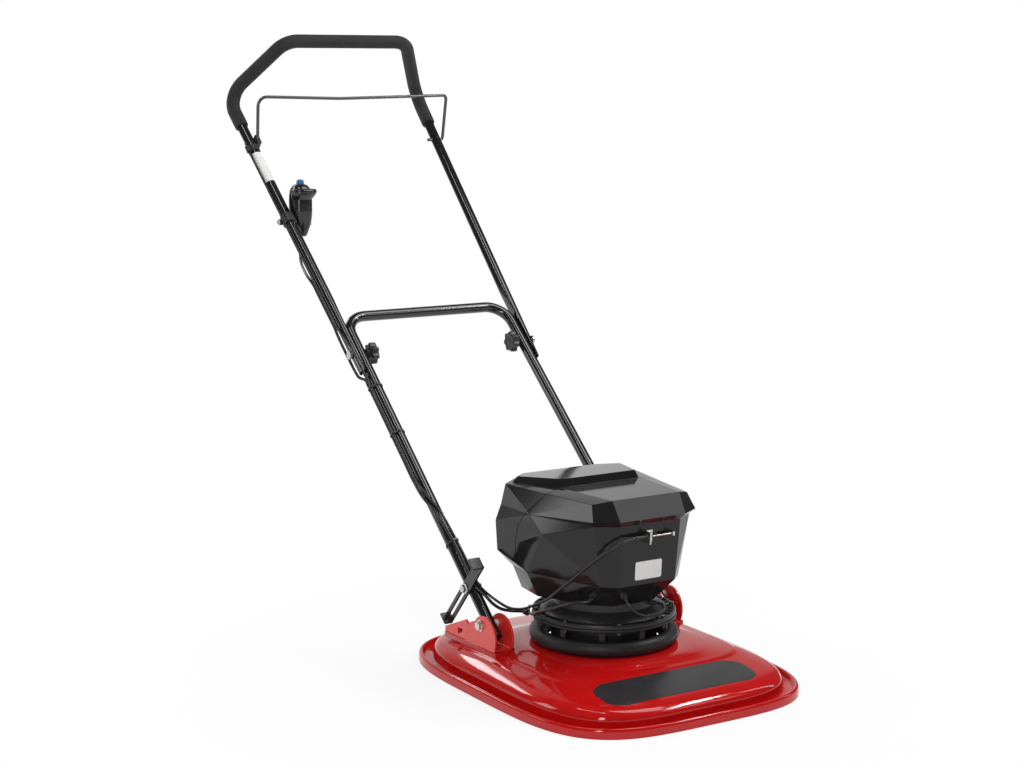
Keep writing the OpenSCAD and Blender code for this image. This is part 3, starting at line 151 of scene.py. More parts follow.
def in_lower(x, s, w):
    """A point of the lower handle's own plane, in millimetres"""
    c, k = math.cos(LOWER_SLOPE), math.sin(LOWER_SLOPE)
    return Vector((x, PIVOT[0] + s * c - w * k, PIVOT[1] + s * k + w * c))


def in_upper(x, t, w):
    """A point of the upper handle's own plane, in millimetres"""
    c, k = math.cos(UPPER_SLOPE), math.sin(UPPER_SLOPE)
    return Vector((x, FOLD[0] + t * c - w * k, FOLD[1] + t * k + w * c))


def leg_x(t):
    """Distance of an upper leg from the middle"""
    return FOLD_X + SPLAY * t


# Finishes

FINISHES = {}
COAT_ROUGH = 0.06
CLOUD_SCALE = 26.0
GRAIN_DEPTH = 0.0008


def ranged(tree, value, span, result):
    """A value's span mapped to a span of results"""
    node = tree.nodes.new("ShaderNodeMapRange")
    node.inputs["From Min"].default_value, node.inputs["From Max"].default_value = span
    node.inputs["To Min"].default_value, node.inputs["To Max"].default_value = result
    tree.links.new(value, node.inputs["Value"])
    return node.outputs["Result"]


def finish(
    name, colour, rough, vary=0.15, metal=0.0, coat=0.0, grain=900.0, bump=0.02, streak=(1.0, 1.0, 1.0),
    sheen=0.0, shine=0.5, swing=0.25,
):
    """A moulded, painted or metal surface with grain in its colour, gloss and height"""
    if name in FINISHES:
        return FINISHES[name]
    made = FINISHES[name] = bpy.data.materials.new(name)
    made.use_nodes = True
    nodes, links = made.node_tree.nodes, made.node_tree.links
    shader = nodes["Principled BSDF"]
    shader.inputs["Metallic"].default_value = metal
    shader.inputs["Coat Weight"].default_value = coat
    shader.inputs["Coat Roughness"].default_value = COAT_ROUGH
    shader.inputs["Specular IOR Level"].default_value = shine
    shader.inputs["Sheen Weight"].default_value = sheen
    place = nodes.new("ShaderNodeTexCoord")
    scale = nodes.new("ShaderNodeMapping")
    scale.inputs["Scale"].default_value = streak
    links.new(place.outputs["Object"], scale.inputs["Vector"])
    cloud = nodes.new("ShaderNodeTexNoise")
    cloud.inputs["Scale"].default_value = CLOUD_SCALE
    cloud.inputs["Detail"].default_value = 4.0
    links.new(scale.outputs["Vector"], cloud.inputs["Vector"])
    tint = nodes.new("ShaderNodeValToRGB")
    dark = [max(0.0, c * (1.0 - vary)) for c in colour]
    light = [min(1.0, c * (1.0 + vary)) for c in colour]
    tint.color_ramp.elements[0].position = 0.3
    tint.color_ramp.elements[0].color = (*dark, 1.0)
    tint.color_ramp.elements[1].position = 0.7
    tint.color_ramp.elements[1].color = (*light, 1.0)
    links.new(cloud.outputs["Fac"], tint.inputs["Fac"])
    links.new(tint.outputs["Color"], shader.inputs["Base Color"])
    speck = nodes.new("ShaderNodeTexNoise")
    speck.inputs["Scale"].default_value = grain
    speck.inputs["Detail"].default_value = 3.0
    links.new(scale.outputs["Vector"], speck.inputs["Vector"])
    span = (rough * (1.0 - swing), min(1.0, rough * (1.0 + swing)))
    gloss = ranged(made.node_tree, speck.outputs["Fac"], (0.0, 1.0), span)
    links.new(gloss, shader.inputs["Roughness"])
    height = nodes.new("ShaderNodeBump")
    height.inputs["Strength"].default_value = bump
    height.inputs["Distance"].default_value = GRAIN_DEPTH
    links.new(speck.outputs["Fac"], height.inputs["Height"])
    links.new(height.outputs["Normal"], shader.inputs["Normal"])
    return made


# Finish of each material slot, of the band and of the labels; a colour's name is one that a user may change
LOOKS = {
    "deck_red": dict(colour="deck_red", rough=0.075, vary=0.05, grain=420.0, bump=0.004, shine=0.42),
    "bracket_red": dict(colour="bracket_red", rough=0.24, vary=0.08, coat=0.3, grain=700.0, bump=0.04),
    "ring_black": dict(colour="ring", rough=0.46, vary=0.2, grain=1500.0, bump=0.14, shine=0.3),
    "base_grey": dict(
        colour=(0.020, 0.020, 0.021), rough=0.36, vary=0.2, grain=1300.0, bump=0.1, shine=0.35,
    ),
    "housing_charcoal": dict(colour="housing", rough=0.1, vary=0.1, grain=800.0, bump=0.006, shine=0.3),
    "tube_black": dict(colour="tube", rough=0.09, coat=0.4, grain=60.0, bump=0.0, swing=0.05),
    "foam_grey": dict(colour="foam", rough=0.82, vary=0.2, grain=2200.0, bump=0.5, sheen=0.05),
    "zinc": dict(colour=(0.60, 0.59, 0.56), rough=0.3, vary=0.12, metal=1.0, grain=1200.0, bump=0.05),
    "wire_grey": dict(colour=(0.045, 0.045, 0.046), rough=0.12, coat=0.4, grain=60.0, bump=0.0, swing=0.05),
    "knob_grey": dict(colour=(0.022, 0.022, 0.024), rough=0.42, vary=0.2, grain=1500.0, bump=0.12),
    "switch_black": dict(
        colour=(0.012, 0.012, 0.013), rough=0.17, coat=0.2, grain=500.0, bump=0.008, swing=0.1,
    ),
    "button_blue": dict(colour="button", rough=0.25, vary=0.12),
    "plate_black": dict(colour=(0.013, 0.013, 0.014), rough=0.26, vary=0.2, bump=0.04),
    "cable_black": dict(
        colour=(0.014, 0.014, 0.015), rough=0.3, vary=0.2, grain=300.0, bump=0.004, swing=0.08,
    ),
    "motor_steel": dict(colour=(0.42, 0.42, 0.43), rough=0.38, metal=1.0, bump=0.05),
    "blade_steel": dict(
        colour=(0.24, 0.24, 0.25), rough=0.36, vary=0.18, metal=1.0, grain=700.0, bump=0.06,
        streak=(0.2, 3.0, 1.0),
    ),
    "nylon_white": dict(colour=(0.70, 0.68, 0.62), rough=0.5, vary=0.06, grain=1200.0, bump=0.04),
    "battery_grey": dict(colour=(0.06, 0.065, 0.07), rough=0.5, grain=1500.0, bump=0.14),
    "band_grey": dict(colour=(0.03, 0.028, 0.03), rough=0.24, grain=1200.0, bump=0.05),
    "label_paper": dict(
        colour=(0.78, 0.78, 0.77), rough=0.5, vary=0.03, grain=400.0, bump=0.004, swing=0.1,
    ),
}


def finish_of(look):
    """The finish of a material slot, of the band or of the labels"""
    row = dict(LOOKS[look])
    colour = row.pop("colour")
    if isinstance(colour, str):
        colour = getattr(bpy.context.scene.mower_colours, colour)
    return finish(look, colour, **row)


# Mesh helpers, all in millimetres

ROUND_FROM = 30.0
UP = Vector((0, 0, 1))


def squared(value, power):
    """A sine or cosine drawn out, so that a round becomes a rounded square"""
    return math.copysign(abs(value) ** power, value)


def shade(mesh, sharp):
    """Smooth shading that breaks at edges sharper than this angle in degrees"""
    mesh.polygons.foreach_set("use_smooth", [True] * len(mesh.polygons))
    mesh.set_sharp_from_angle(angle=math.radians(sharp))


def mesh_of(name, points, faces, sharp=35.0, round_by=0.0, round_steps=2):
    """A mesh object from points in millimetres, with outward faces and rounded edges"""
    form = bmesh.new()
    made = [form.verts.new(Vector(p) * MM) for p in points]
    for face in faces:
        form.faces.new([made[i] for i in face])
    bmesh.ops.recalc_face_normals(form, faces=form.faces)
    if round_by > 0:
        limit = math.radians(ROUND_FROM)
        edges = [e for e in form.edges if e.is_manifold and e.calc_face_angle(0.0) > limit]
        bmesh.ops.bevel(
            form, geom=edges, offset=round_by, offset_type="OFFSET", segments=round_steps, profile=0.5,
            affect="EDGES", clamp_overlap=True,
        )
    mesh = bpy.data.meshes.new(name)
    form.to_mesh(mesh)
    form.free()
    shade(mesh, sharp)
    piece = bpy.data.objects.new(name, mesh)
    bpy.context.scene.collection.objects.link(piece)
    return piece


def dress(piece, body, slot, replaced=(), look=None):
    """Gives a piece its finish, its body and the nodes that it stands for; look names another finish"""
    piece.data.materials.clear()
    piece.data.materials.append(finish_of(look or slot))
    if replaced:
        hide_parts(*replaced)
    if body:
        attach(piece, body)
    return piece


def loft(rings, cap=True):
    """Points and faces of rings joined in a row"""
    n = len(rings[0])
    points = [p for ring in rings for p in ring]
    faces = []
    for i in range(len(rings) - 1):
        for k in range(n):
            m = (k + 1) % n
            faces.append((i * n + k, i * n + m, (i + 1) * n + m, (i + 1) * n + k))
    if cap:
        faces.append(tuple(range(n)))
        faces.append(tuple(range((len(rings) - 1) * n, len(rings) * n)))
    return points, faces


def turned(profile, sides, place=None, closed=True):
    """Points and faces of a profile of radius and height turned about Z, then placed by a matrix"""
    rings = []
    for k in range(sides):
        turn = 2 * math.pi * k / sides
        ring = [Vector((r * math.cos(turn), r * math.sin(turn), z)) for r, z in profile]
        rings.append([place @ p for p in ring] if place else ring)
    n = len(profile)
    points = [p for ring in rings for p in ring]
    faces = []
    for k in range(sides):
        m = (k + 1) % sides
        for i in range(n if closed else n - 1):
            j = (i + 1) % n
            faces.append((k * n + i, m * n + i, m * n + j, k * n + j))
    return points, faces


def together(*parts):
    """Several point and face lists as one"""
    points, faces = [], []
    for some, more in parts:
        start = len(points)
        points.extend(some)
        faces.extend(tuple(i + start for i in f) for f in more)
    return points, faces


def tiles_of(columns, rows):
    """Faces of a sheet of points laid in rows"""
    n = columns + 1
    return [(k, k + 1, k + n + 1, k + n) for j in range(rows) for k in range(j * n, j * n + columns)]


def around(count):
    """Turns about Z that share out a circle, each to the middle of its share"""
    return [Matrix.Rotation(math.radians(360 * (i + 0.5) / count), 4, "Z") for i in range(count)]


def block(low, high, place=None):
    """Points and faces of a box"""
    across, along, upright = zip(low, high)
    points = [Vector((x, y, z)) for z in upright for y in along for x in across]
    if place:
        points = [place @ p for p in points]
    return points, [(0, 1, 3, 2), (4, 5, 7, 6), (0, 1, 5, 4), (2, 3, 7, 6), (0, 2, 6, 4), (1, 3, 7, 5)]


def bent(points, bends, steps):
    """A route of straight runs joined by round bends"""
    route = [Vector(points[0])]
    for i in range(1, len(points) - 1):
        before, here, after = Vector(points[i - 1]), Vector(points[i]), Vector(points[i + 1])
        into, out = (here - before).normalized(), (after - here).normalized()
        turn = into.angle(out)
        if bends[i] <= 0 or turn < 1e-4:
            route.append(here)
            continue
        side = (out - into * into.dot(out)).normalized()
        start = here - into * bends[i] * math.tan(turn / 2)
        centre = start + side * bends[i]
        for k in range(steps + 1):
            a = turn * k / steps
            route.append(centre + bends[i] * (into * math.sin(a) - side * math.cos(a)))
    route.append(Vector(points[-1]))
    return route


def flowing(points, steps):
    """A smooth route through points"""
    pts = [Vector(p) for p in points]
    ends = [pts[0] * 2 - pts[1], *pts, pts[-1] * 2 - pts[-2]]
    route = []
    for i in range(1, len(ends) - 2):
        a, b, c, d = ends[i - 1:i + 3]
        near, mid, far = ((q - p).length ** 0.5 or 1e-3 for p, q in ((a, b), (b, c), (c, d)))
        m1 = (c - b + mid * ((b - a) / near - (c - a) / (near + mid)))
        m2 = (c - b + mid * ((d - c) / far - (d - b) / (mid + far)))
        for k in range(steps):
            t = k / steps
            route.append(
                b * (2 * t**3 - 3 * t**2 + 1) + m1 * (t**3 - 2 * t**2 + t)
                + c * (3 * t**2 - 2 * t**3) + m2 * (t**3 - t**2)
            )
    route.append(pts[-1])
    return route


def divided(points, step):
    """A route with points put in, so that none are further apart than this, or nearly"""
    made = []
    for a, b in zip(points, points[1:]):
        count = max(1, int((b - a).length / step))
        made += [a.lerp(b, k / count) for k in range(count)]
    made.append(points[-1])
    return made


def swept(route, radius, sides, squash=None):
    """Rings of a round bar along a route; radius is a number or a function of the length gone"""
    rings, side = [], None
    lengths = [0.0]
    for a, b in zip(route, route[1:]):
        lengths.append(lengths[-1] + (b - a).length)
    for i, p in enumerate(route):
        d = (route[min(i + 1, len(route) - 1)] - route[max(i - 1, 0)]).normalized()
        if side is None:
            side = d.cross(UP if abs(d.z) < 0.9 else Vector((1, 0, 0)))
        side = (side - d * side.dot(d)).normalized()
        up = d.cross(side)
        r = radius(lengths[i]) if callable(radius) else radius
        ring = []
        for k in range(sides):
            turn = 2 * math.pi * k / sides
            ring.append(p + r * (side * math.cos(turn) + up * math.sin(turn)))
        rings.append([squash(q) for q in ring] if squash else ring)
    return rings


def open_ended(rings):
    """A tube whose ends show its wall and a short bore"""
    def inner(ring, depth):
        middle = sum(ring, Vector()) / len(ring)
        return [middle + (p - middle) * BORE_SHARE + depth for p in ring]
    start, end = rings[0], rings[-1]
    first = (rings[1][0] - start[0]).normalized() * BORE_DEPTH
    last = (rings[-2][0] - end[0]).normalized() * BORE_DEPTH
    none = Vector()
    return [inner(start, first), inner(start, none), *rings, inner(end, none), inner(end, last)]


def soften(node, width, angle=28.0, steps=2):
    """Rounds the edges of a node that stays, without touching its mesh"""
    solid = NODES[node]
    join = solid.modifiers.new("Join", "WELD")
    join.merge_threshold = 0.00002
    edge = solid.modifiers.new("Round", "BEVEL")
    edge.width = width
    edge.segments = steps
    edge.limit_method = "ANGLE"
    edge.angle_limit = math.radians(angle)
    edge.use_clamp_overlap = True
    edge.harden_normals = False
    even = solid.modifiers.new("Even", "WEIGHTED_NORMAL")
    even.keep_sharp = True


# Deck

RIM_SQUARE = 3.85
DECK_STATIONS = 288
DECK_SHARP = 38.0
# Pads under the brackets: half width, reach along the deck, top and the gap round them
PAD_HALF = 21.5
PAD_Y = (38, 223)
PAD_TOP = 62
PAD_GAP = 1
# Plain band on the deck's front: rear edge, depth, half length and place of its middle
BAND_Y = -196
BAND_DEPTH = 85
BAND_HALF = 164
BAND_X = -9


def deck_ring(half_w, half_l, square, z, stations):
    """One ring of the deck's outline"""
    ring = []
    for i in range(stations):
        turn = 2 * math.pi * i / stations
        c, s = math.cos(turn), math.sin(turn)
        ring.append(Vector((half_w * squared(c, 2 / square), half_l * squared(s, 2 / square), z)))
    return ring


def smooth_rows(rows, steps):
    """Rows of numbers with smooth rows put between them"""
    made = []
    for i in range(len(rows) - 1):
        a, b = rows[max(i - 1, 0)], rows[i]
        c, d = rows[i + 1], rows[min(i + 2, len(rows) - 1)]
        for k in range(steps):
            t = k / steps
            made.append(tuple(
                0.5 * (
                    2 * q + (r - p) * t + (2 * p - 5 * q + 4 * r - s) * t * t
                    + (3 * q - p - 3 * r + s) * t**3
                )
                for p, q, r, s in zip(a, b, c, d)
            ))
    made.append(tuple(rows[-1]))
    return made


def deck_rows(half_w, half_l):
    """Half width, half length, squareness and height of the deck's rings, round the whole section"""
    def near_rim(pairs):
        return [(half_w - d, half_l - d, RIM_SQUARE, z) for d, z in pairs]
    lip = [
        (0, 0), (0, 1.2), (0, 12.4), (0.4, 14.9), (1.5, 17.1), (3.2, 18.3), (4.8, 18.4), (6.4, 17.3),
        (7.4, 14.6),
    ]
    gutter = [(8.2, 10), (9.2, 7.8), (11, 7), (22, 7), (24, 7.8), (25, 10)]
    shoulder = [(25.2, 19), (25.3, 23), (25.8, 26), (26.9, 28.8), (28.4, 31.2)]
    dome = [
        (half_w - 30.2, half_l - 31, 3.9, 33.4), (half_w - 34.5, half_l - 38.5, 4.05, 37.6),
        (half_w - 42, half_l - 58, 4.25, 42.9), (half_w - 54, half_l - 98, 4.4, 49.2),
        (half_w - 66, half_l - 130, 4.7, 53.9), (half_w - 72.5, half_l - 146, 5, 56.2),
    ]
    edge = [
        (half_w - 74.5, half_l - 150, 5, 57.6), (half_w - 77, half_l - 154.5, 5, 59),
        (half_w - 80, half_l - 161, 5, 59.9),
    ]
    seat = [
        (178, 168, 3.6, 63.4), (162, 161, 2.6, 67.4), (154, 154, 2.2, 69.2), (146, 146, 2, 70),
        (112, 112, 2, 70),
    ]
    under = [
        (112, 112, 2, 66), (146, 146, 2, 66), (162, 160, 2.6, 63), (half_w - 84, half_l - 164, 5, 55.5),
        (half_w - 78, half_l - 156, 5, 53.4), (half_w - 58, half_l - 102, 4.4, 45),
        (half_w - 44, half_l - 62, 4.2, 39), (half_w - 37, half_l - 44, 4.2, 34),
        (half_w - 32, half_l - 33, RIM_SQUARE, 26.5),
    ]
    foot = [(30, 7), (26, 3), (8, 3), (8, 0)]
    top = smooth_rows(dome, 4) + smooth_rows(edge, 2) + smooth_rows(seat[:3], 4) + seat[3:]
    return near_rim(lip + gutter + shoulder) + top + under + near_rim(foot)


def cut_from(piece, cutter):
    """Cuts one mesh from another and removes the cutter"""
    cut = piece.modifiers.new("Cut", "BOOLEAN")
    cut.operation = "DIFFERENCE"
    cut.solver = "EXACT"
    cut.object = cutter
    graph = bpy.context.evaluated_depsgraph_get()
    done = bpy.data.meshes.new_from_object(piece.evaluated_get(graph))
    piece.modifiers.clear()
    piece.data = done
    bpy.data.objects.remove(cutter)


def surface_of(piece):
    """Heights over a piece, for laying something on it"""
    graph = bpy.context.evaluated_depsgraph_get()
    tree = BVHTree.FromObject(piece, graph)

    def height(x, y):
        spot = tree.ray_cast(Vector((x * MM, y * MM, 1.0)), Vector((0, 0, -1)))[0]
        return spot.z / MM
    return height


def laid_patch(outline_of, rows, columns, height, lift, thick):
    """A thin patch that follows a surface; outline_of gives a point for shares across and along"""
    top, low = [], []
    for j in range(rows + 1):
        for i in range(columns + 1):
            x, y = outline_of(i / columns, j / rows)
            z = height(x, y)
            top.append(Vector((x, y, z + lift)))
            low.append(Vector((x, y, z + lift - thick)))
    n = columns + 1
    faces = []
    base = len(top)
    for a, b, c, d in tiles_of(columns, rows):
        faces.append((a, b, c, d))
        faces.append((base + a, base + d, base + c, base + b))
    rim = list(range(columns))
    rim += [j * n + columns for j in range(rows)]
    rim += [rows * n + columns - i for i in range(columns)]
    rim += [(rows - j) * n for j in range(rows)]
    for a, b in zip(rim, rim[1:] + rim[:1]):
        faces.append((a, base + a, base + b, b))
    return top + low, faces


class MOWER_OT_deck(bpy.types.Operator):
    """Red deck moulding with its lip, gutter, panel and bracket pads, and the plain band on its front"""

    bl_idname = "mower.deck"
    bl_label = "Deck"

    def execute(self, context):
        sizes = context.scene.mower_sizes
        half_w, half_l = sizes.deck_width / MM / 2, sizes.deck_length / MM / 2
        rings = [deck_ring(*row, DECK_STATIONS) for row in deck_rows(half_w, half_l)]
        points, faces = loft(rings + [rings[0]], cap=False)
        count = len(rings) * DECK_STATIONS
        faces = [tuple(i % count for i in f) for f in faces]
        deck = mesh_of("deck_moulding", points[:count], faces, sharp=DECK_SHARP)
        room = PAD_HALF + PAD_GAP
        front, rear = PAD_Y
        pads = []
        for x in (-LOWER_X, LOWER_X):
            low, high = (x - room, front - PAD_GAP, PAD_TOP - 0.4), (x + room, rear + PAD_GAP, PAD_TOP + 28)
            cut_from(deck, mesh_of("pocket", *block(low, high)))
            pads.append(block((x - PAD_HALF, front, PAD_TOP - 12), (x + PAD_HALF, rear, PAD_TOP)))
        shade(deck.data, DECK_SHARP)
        dress(deck, "deck", "deck_red", ["deck_shell"])
        pair = mesh_of("bracket_pads", *together(*pads), round_by=0.0018, round_steps=3)
        dress(pair, "deck", "deck_red")
        height = surface_of(deck)

        def band_outline(across, along):
            half = BAND_HALF - 30 * abs(2 * along - 1) ** 4
            return (2 * across - 1) * half + BAND_X, BAND_Y - BAND_DEPTH * along

        band = laid_patch(band_outline, 18, 64, height, 0.5, 1.6)
        dress(mesh_of("front_band", *band, sharp=50.0), "deck", "deck_red", look="band_grey")
        return {"FINISHED"}


# Radius and height round the turned profiles of the air ring and the motor base
RING_WALL = [(117.5, 115), (122.5, 115), (122.5, 117), (117.5, 117)]
RING_FLANGE = [
    (112, 116), (132.5, 116), (134.2, 116.8), (135, 118.2), (135, 120.4), (134.4, 121.6), (133.2, 122),
    (112, 122),
]
BASE_SHROUD = [(96, 74), (99, 74), (99, 122.4), (96, 122.4)]
BASE_BELL = [
    (31, 122), (113, 122.2), (119, 122.2), (119, 130), (117.8, 131.2), (112, 135.4), (107, 138.6),
    (103, 140.4), (98, 142.6), (96, 144.6), (95.6, 150), (95.6, 157.9), (10.6, 157.9), (10.6, 152),
    (90, 152), (90.5, 141), (31, 139),
]
BASE_RIM = [
    (129.5, 122.2), (133, 122.2), (134, 123.4), (134, 128.6), (133.2, 130), (130.2, 130), (129.5, 129.2),
]
BASE_BOSS = [(0, 122.3), (7.4, 122.3), (7.4, 129.2), (6.6, 130), (0, 130)]
BOSS_R = 126
# Middle and radius of the ring's rolled lip
ROLL_R, ROLL_Z, ROLL = 126, 84, 14
# Half width of a post in degrees, and its height and growth towards its ends
POST_HALF = math.degrees(5.5 / 120)
POST_ROWS = ((86, 2.2), (97, 0.6), (101, 0.0), (112, 0.0), (116.5, 1.2))
POSTS = 10
# Corners of a spoke between the bell and the rim
SPOKE_LOW, SPOKE_HIGH = (117, -1.6, 122.3), (131, 1.6, 129.4)
SPOKES = 40
BOSSES = 8


class MOWER_OT_air_ring(bpy.types.Operator):
    """Air ring's rolled lip and windows, and the motor base with its spoked flange, skirt and neck"""

    bl_idname = "mower.air_ring"
    bl_label = "Air ring and motor base"

    def execute(self, context):
        roll = [(112.0, 70.2), (ROLL_R, ROLL_Z - ROLL)]
        for k in range(25):
            turn = math.radians(-90 + 270 * k / 24)
            roll.append((ROLL_R + ROLL * math.cos(turn), ROLL_Z + ROLL * math.sin(turn)))
        roll += [(113.5, 85.5), (112.2, 88)]
        parts = [turned(roll, 144), turned(RING_WALL, 144)]
        for turn in around(POSTS):
            rows = []
            for z, grow in POST_ROWS:
                half = math.radians(POST_HALF + grow / 2)
                outline = ((117.5, -half), (123.2, -half), (124.6, 0), (123.2, half), (117.5, half))
                rows.append([turn @ Vector((r * math.cos(a), r * math.sin(a), z)) for r, a in outline])
            parts.append(loft(rows))
        parts.append(turned(RING_FLANGE, 192))
        ring = mesh_of("air_ring_moulding", *together(*parts), sharp=32.0)
        dress(ring, "deck", "ring_black", ["air_ring"])
        parts = [turned(BASE_BELL, 144), turned(BASE_RIM, 192), turned(BASE_SHROUD, 144)]
        for turn in around(SPOKES):
            parts.append(block(SPOKE_LOW, SPOKE_HIGH, turn))
        for turn in around(BOSSES):
            parts.append(turned(BASE_BOSS, 24, turn @ Matrix.Translation((BOSS_R, 0, 0)), closed=False))
        base = mesh_of("motor_base_moulding", *together(*parts), sharp=32.0)
        dress(base, "deck", "base_grey", ["motor_base"])
        return {"FINISHED"}


# Blank label on the housing's front: half width, half height, middle height and squareness
LABEL_HALF_X = 29.0
LABEL_HALF_Z = 17.0
LABEL_Z = 231
LABEL_SQUARE = 0.12


def face_y(z):
    """Place of the housing's leaning front at a height"""
    return -137.0 - 8.0 * (z - 204) / 114


class MOWER_OT_housing(bpy.types.Operator):
    """Faceted housing with rounded edges, its fittings and the blank label on its front"""

    bl_idname = "mower.housing"
    bl_label = "Housing"

    def execute(self, context):
        sizes = context.scene.mower_sizes
        for node in ("housing_tray", "front_cover", "battery_lid"):
            shade(NODES[node].data, 6.0)
            soften(node, sizes.edge_round, 6.0, 3)
        for node in ("cable_bracket", "cable_barrel", "run_lever", "run_switch"):
            soften(node, sizes.steel_round)
        plate = []
        for out in (0.15, 0.75):
            ring = []
            for k in range(48):
                turn = 2 * math.pi * k / 48
                x = LABEL_HALF_X * squared(math.cos(turn), LABEL_SQUARE)
                z = LABEL_Z + LABEL_HALF_Z * squared(math.sin(turn), LABEL_SQUARE)
                ring.append(Vector((x, face_y(z) - out, z)))
            plate.append(ring)
        label = mesh_of("housing_label", *loft(plate), sharp=40.0)
        dress(label, "deck", "housing_charcoal", look="label_paper")
        return {"FINISHED"}


# Upper handle in its own plane: corner and top of the grip's loop, and where tubes, foam and label begin
MIRROR = Vector((-1, 1, 1))
GRIP_CORNER = Vector((leg_x(UPPER_L), UPPER_L, 0))
GRIP_TOP = Vector((148.5, UPPER_L, 168))
LOWER_START = -32
UPPER_START = -46
FOAM_START = 648
LABEL_SPAN = (478, 562)
FOAM_R = 14.8
# Depth and length of the foam's rounded ends and of the seam in its middle
FOAM_TIP, FOAM_TIP_L = 1.4, 3.0
FOAM_SEAM, FOAM_SEAM_L = 0.5, 1.4
# Flat on the inner side of the upper legs, and where it runs out
FLAT_X = 204.8
FLAT_END = (112, 150)
FLAT_DROP = 26
# Run bail: radius, place of its foot below the grip, and the bar's place from the foot
BAIL_R = 3.5
BAIL_FOOT = UPPER_L - 143.0
BAIL_BAR = (59.5, 82.8)


def grip_route(start, steps, step):
    """Route of the upper handle from one leg over the grip to the other"""
    half = [Vector((leg_x(start), start, 0)), GRIP_CORNER, GRIP_TOP]
    corners = [p * MIRROR for p in half] + half[::-1]
    return divided(bent(corners, [0, *[TUBE_BEND] * 4, 0], steps), step)


def flattened(p):
    """Flattens the inner side of an upper leg where it lies against the lower one"""
    near, far = FLAT_END
    if p.y > far:
        return p
    ease = max(0.0, (p.y - near) / (far - near))
    least = FLAT_X - FLAT_DROP * ease * ease
    return Vector((math.copysign(max(abs(p.x), least), p.x), p.y, p.z))


def wrapped(t):
    """Outline of the blank label round the left upper leg"""
    turns = [math.radians(52 + 140 * k / 14) for k in range(15)]
    outer = [(TUBE_R + 0.5, turn) for turn in turns]
    inner = [(TUBE_R + 0.08, turn) for turn in reversed(turns)]
    around_leg = [(r * math.cos(turn), r * math.sin(turn)) for r, turn in outer + inner]
    return [in_upper(x - leg_x(t), t, w) for x, w in around_leg]


class MOWER_OT_tubes(bpy.types.Operator):
    """Handle tubes, foam grip, blank label and run bail"""

    bl_idname = "mower.tubes"
    bl_label = "Handle tubes, grip and bail"

    def execute(self, context):
        sides = context.scene.mower_sizes.tube_sides
        left = [(-LOWER_X, LOWER_START, 0), (-LOWER_X, LOWER_L, 0)]
        right = [(LOWER_X, LOWER_L, 0), (LOWER_X, LOWER_START, 0)]
        route = [in_lower(*p) for p in bent(left + right, [0, TUBE_BEND, TUBE_BEND, 0], 14)]
        tube = mesh_of("lower_tube", *loft(open_ended(swept(route, TUBE_R, sides))), sharp=40.0)
        dress(tube, "lower", "tube_black", ["lower_handle"])

        rings = swept(grip_route(UPPER_START, 14, 30), TUBE_R, sides, flattened)
        rings = [[in_upper(*p) for p in ring] for ring in rings]
        tube = mesh_of("upper_tube", *loft(open_ended(rings)), sharp=40.0)
        dress(tube, "upper", "tube_black", ["upper_handle"])

        sleeve = grip_route(FOAM_START, 16, 4)
        whole = sum((b - a).length for a, b in zip(sleeve, sleeve[1:]))

        def foam_radius(way):
            near = min(way, whole - way)
            tip = FOAM_R - FOAM_TIP * max(0.0, 1 - near / FOAM_TIP_L) ** 2
            seam = FOAM_SEAM * math.exp(-((way - whole / 2) / FOAM_SEAM_L) ** 2)
            return tip - seam

        rings = swept(sleeve, foam_radius, sides)
        rings = [[in_upper(*p) for p in ring] for ring in rings]
        foam = mesh_of("foam_sleeve", *loft(rings), sharp=60.0)
        dress(foam, "upper", "foam_grey", ["foam_grip"])

        label = mesh_of("tube_label", *loft([wrapped(t) for t in LABEL_SPAN]), sharp=40.0)
        dress(label, "upper", "tube_black", look="label_paper")

        foot, reach = BAIL_FOOT, leg_x(BAIL_FOOT)
        bar, out = foot + BAIL_BAR[0], BAIL_BAR[1]
        wire = [
            (-reach - 12.5, foot, 0), (-reach + 17.1, foot, 0), (-reach + 14.1, bar, out),
            (-60, bar - 2.4, out - 3.6), (-20, bar - 3, out - 4.5), (reach + 20.1, bar, out),
            (reach + 17.1, foot, 0), (reach - 21, foot, 0),
        ]
        route = [in_upper(*p) for p in bent(wire, [0, 5.5, 20, 120, 120, 9, 5.5, 0], 8)]
        rod = mesh_of("bail_rod", *loft(swept(route, BAIL_R, 16)), sharp=50.0)
        dress(rod, "bail_body", "wire_grey", ["bail"])
        return {"FINISHED"}


# Knob: place of its inner face, its lobes, and length, radius and share of the lobes along it
KNOB_FACE = 182.2
LOBES = 7
LOBE_DEPTH = 2.4
KNOB_ROWS = (
    (0, 9.4, 0), (0.6, 10, 0), (5.6, 10, 0), (6.2, 10.8, 0), (6.4, 17.6, 0.6), (7.6, 20, 1), (10, 20.1, 1),
    (18, 20.1, 1), (20.4, 19.6, 0.95), (21.6, 18, 0.8), (22, 15.5, 0.5), (21.4, 13.2, 0.2), (20.6, 12.4, 0),
    (20.6, 6, 0), (21.6, 5, 0), (21.8, 1, 0),
)


class MOWER_OT_knobs(bpy.types.Operator):
    """Lobed clamping knobs at the fold"""

    bl_idname = "mower.knobs"
    bl_label = "Clamping knobs"

    def execute(self, context):
        for side, node, body in ((-1, "knob_left", "knob_l"), (1, "knob_right", "knob_r")):
            rings = []
            for along, r, wave in KNOB_ROWS:
                ring = []
                for k in range(112):
                    turn = 2 * math.pi * k / 112
                    lobe = r + wave * LOBE_DEPTH * math.cos(LOBES * turn)
                    x = side * (KNOB_FACE - along)
                    ring.append(in_lower(x, FOLD_S + lobe * math.cos(turn), lobe * math.sin(turn)))
                rings.append(ring)
            dress(mesh_of(node + "_moulding", *loft(rings), sharp=38.0), body, "knob_grey", [node])
        return {"FINISHED"}


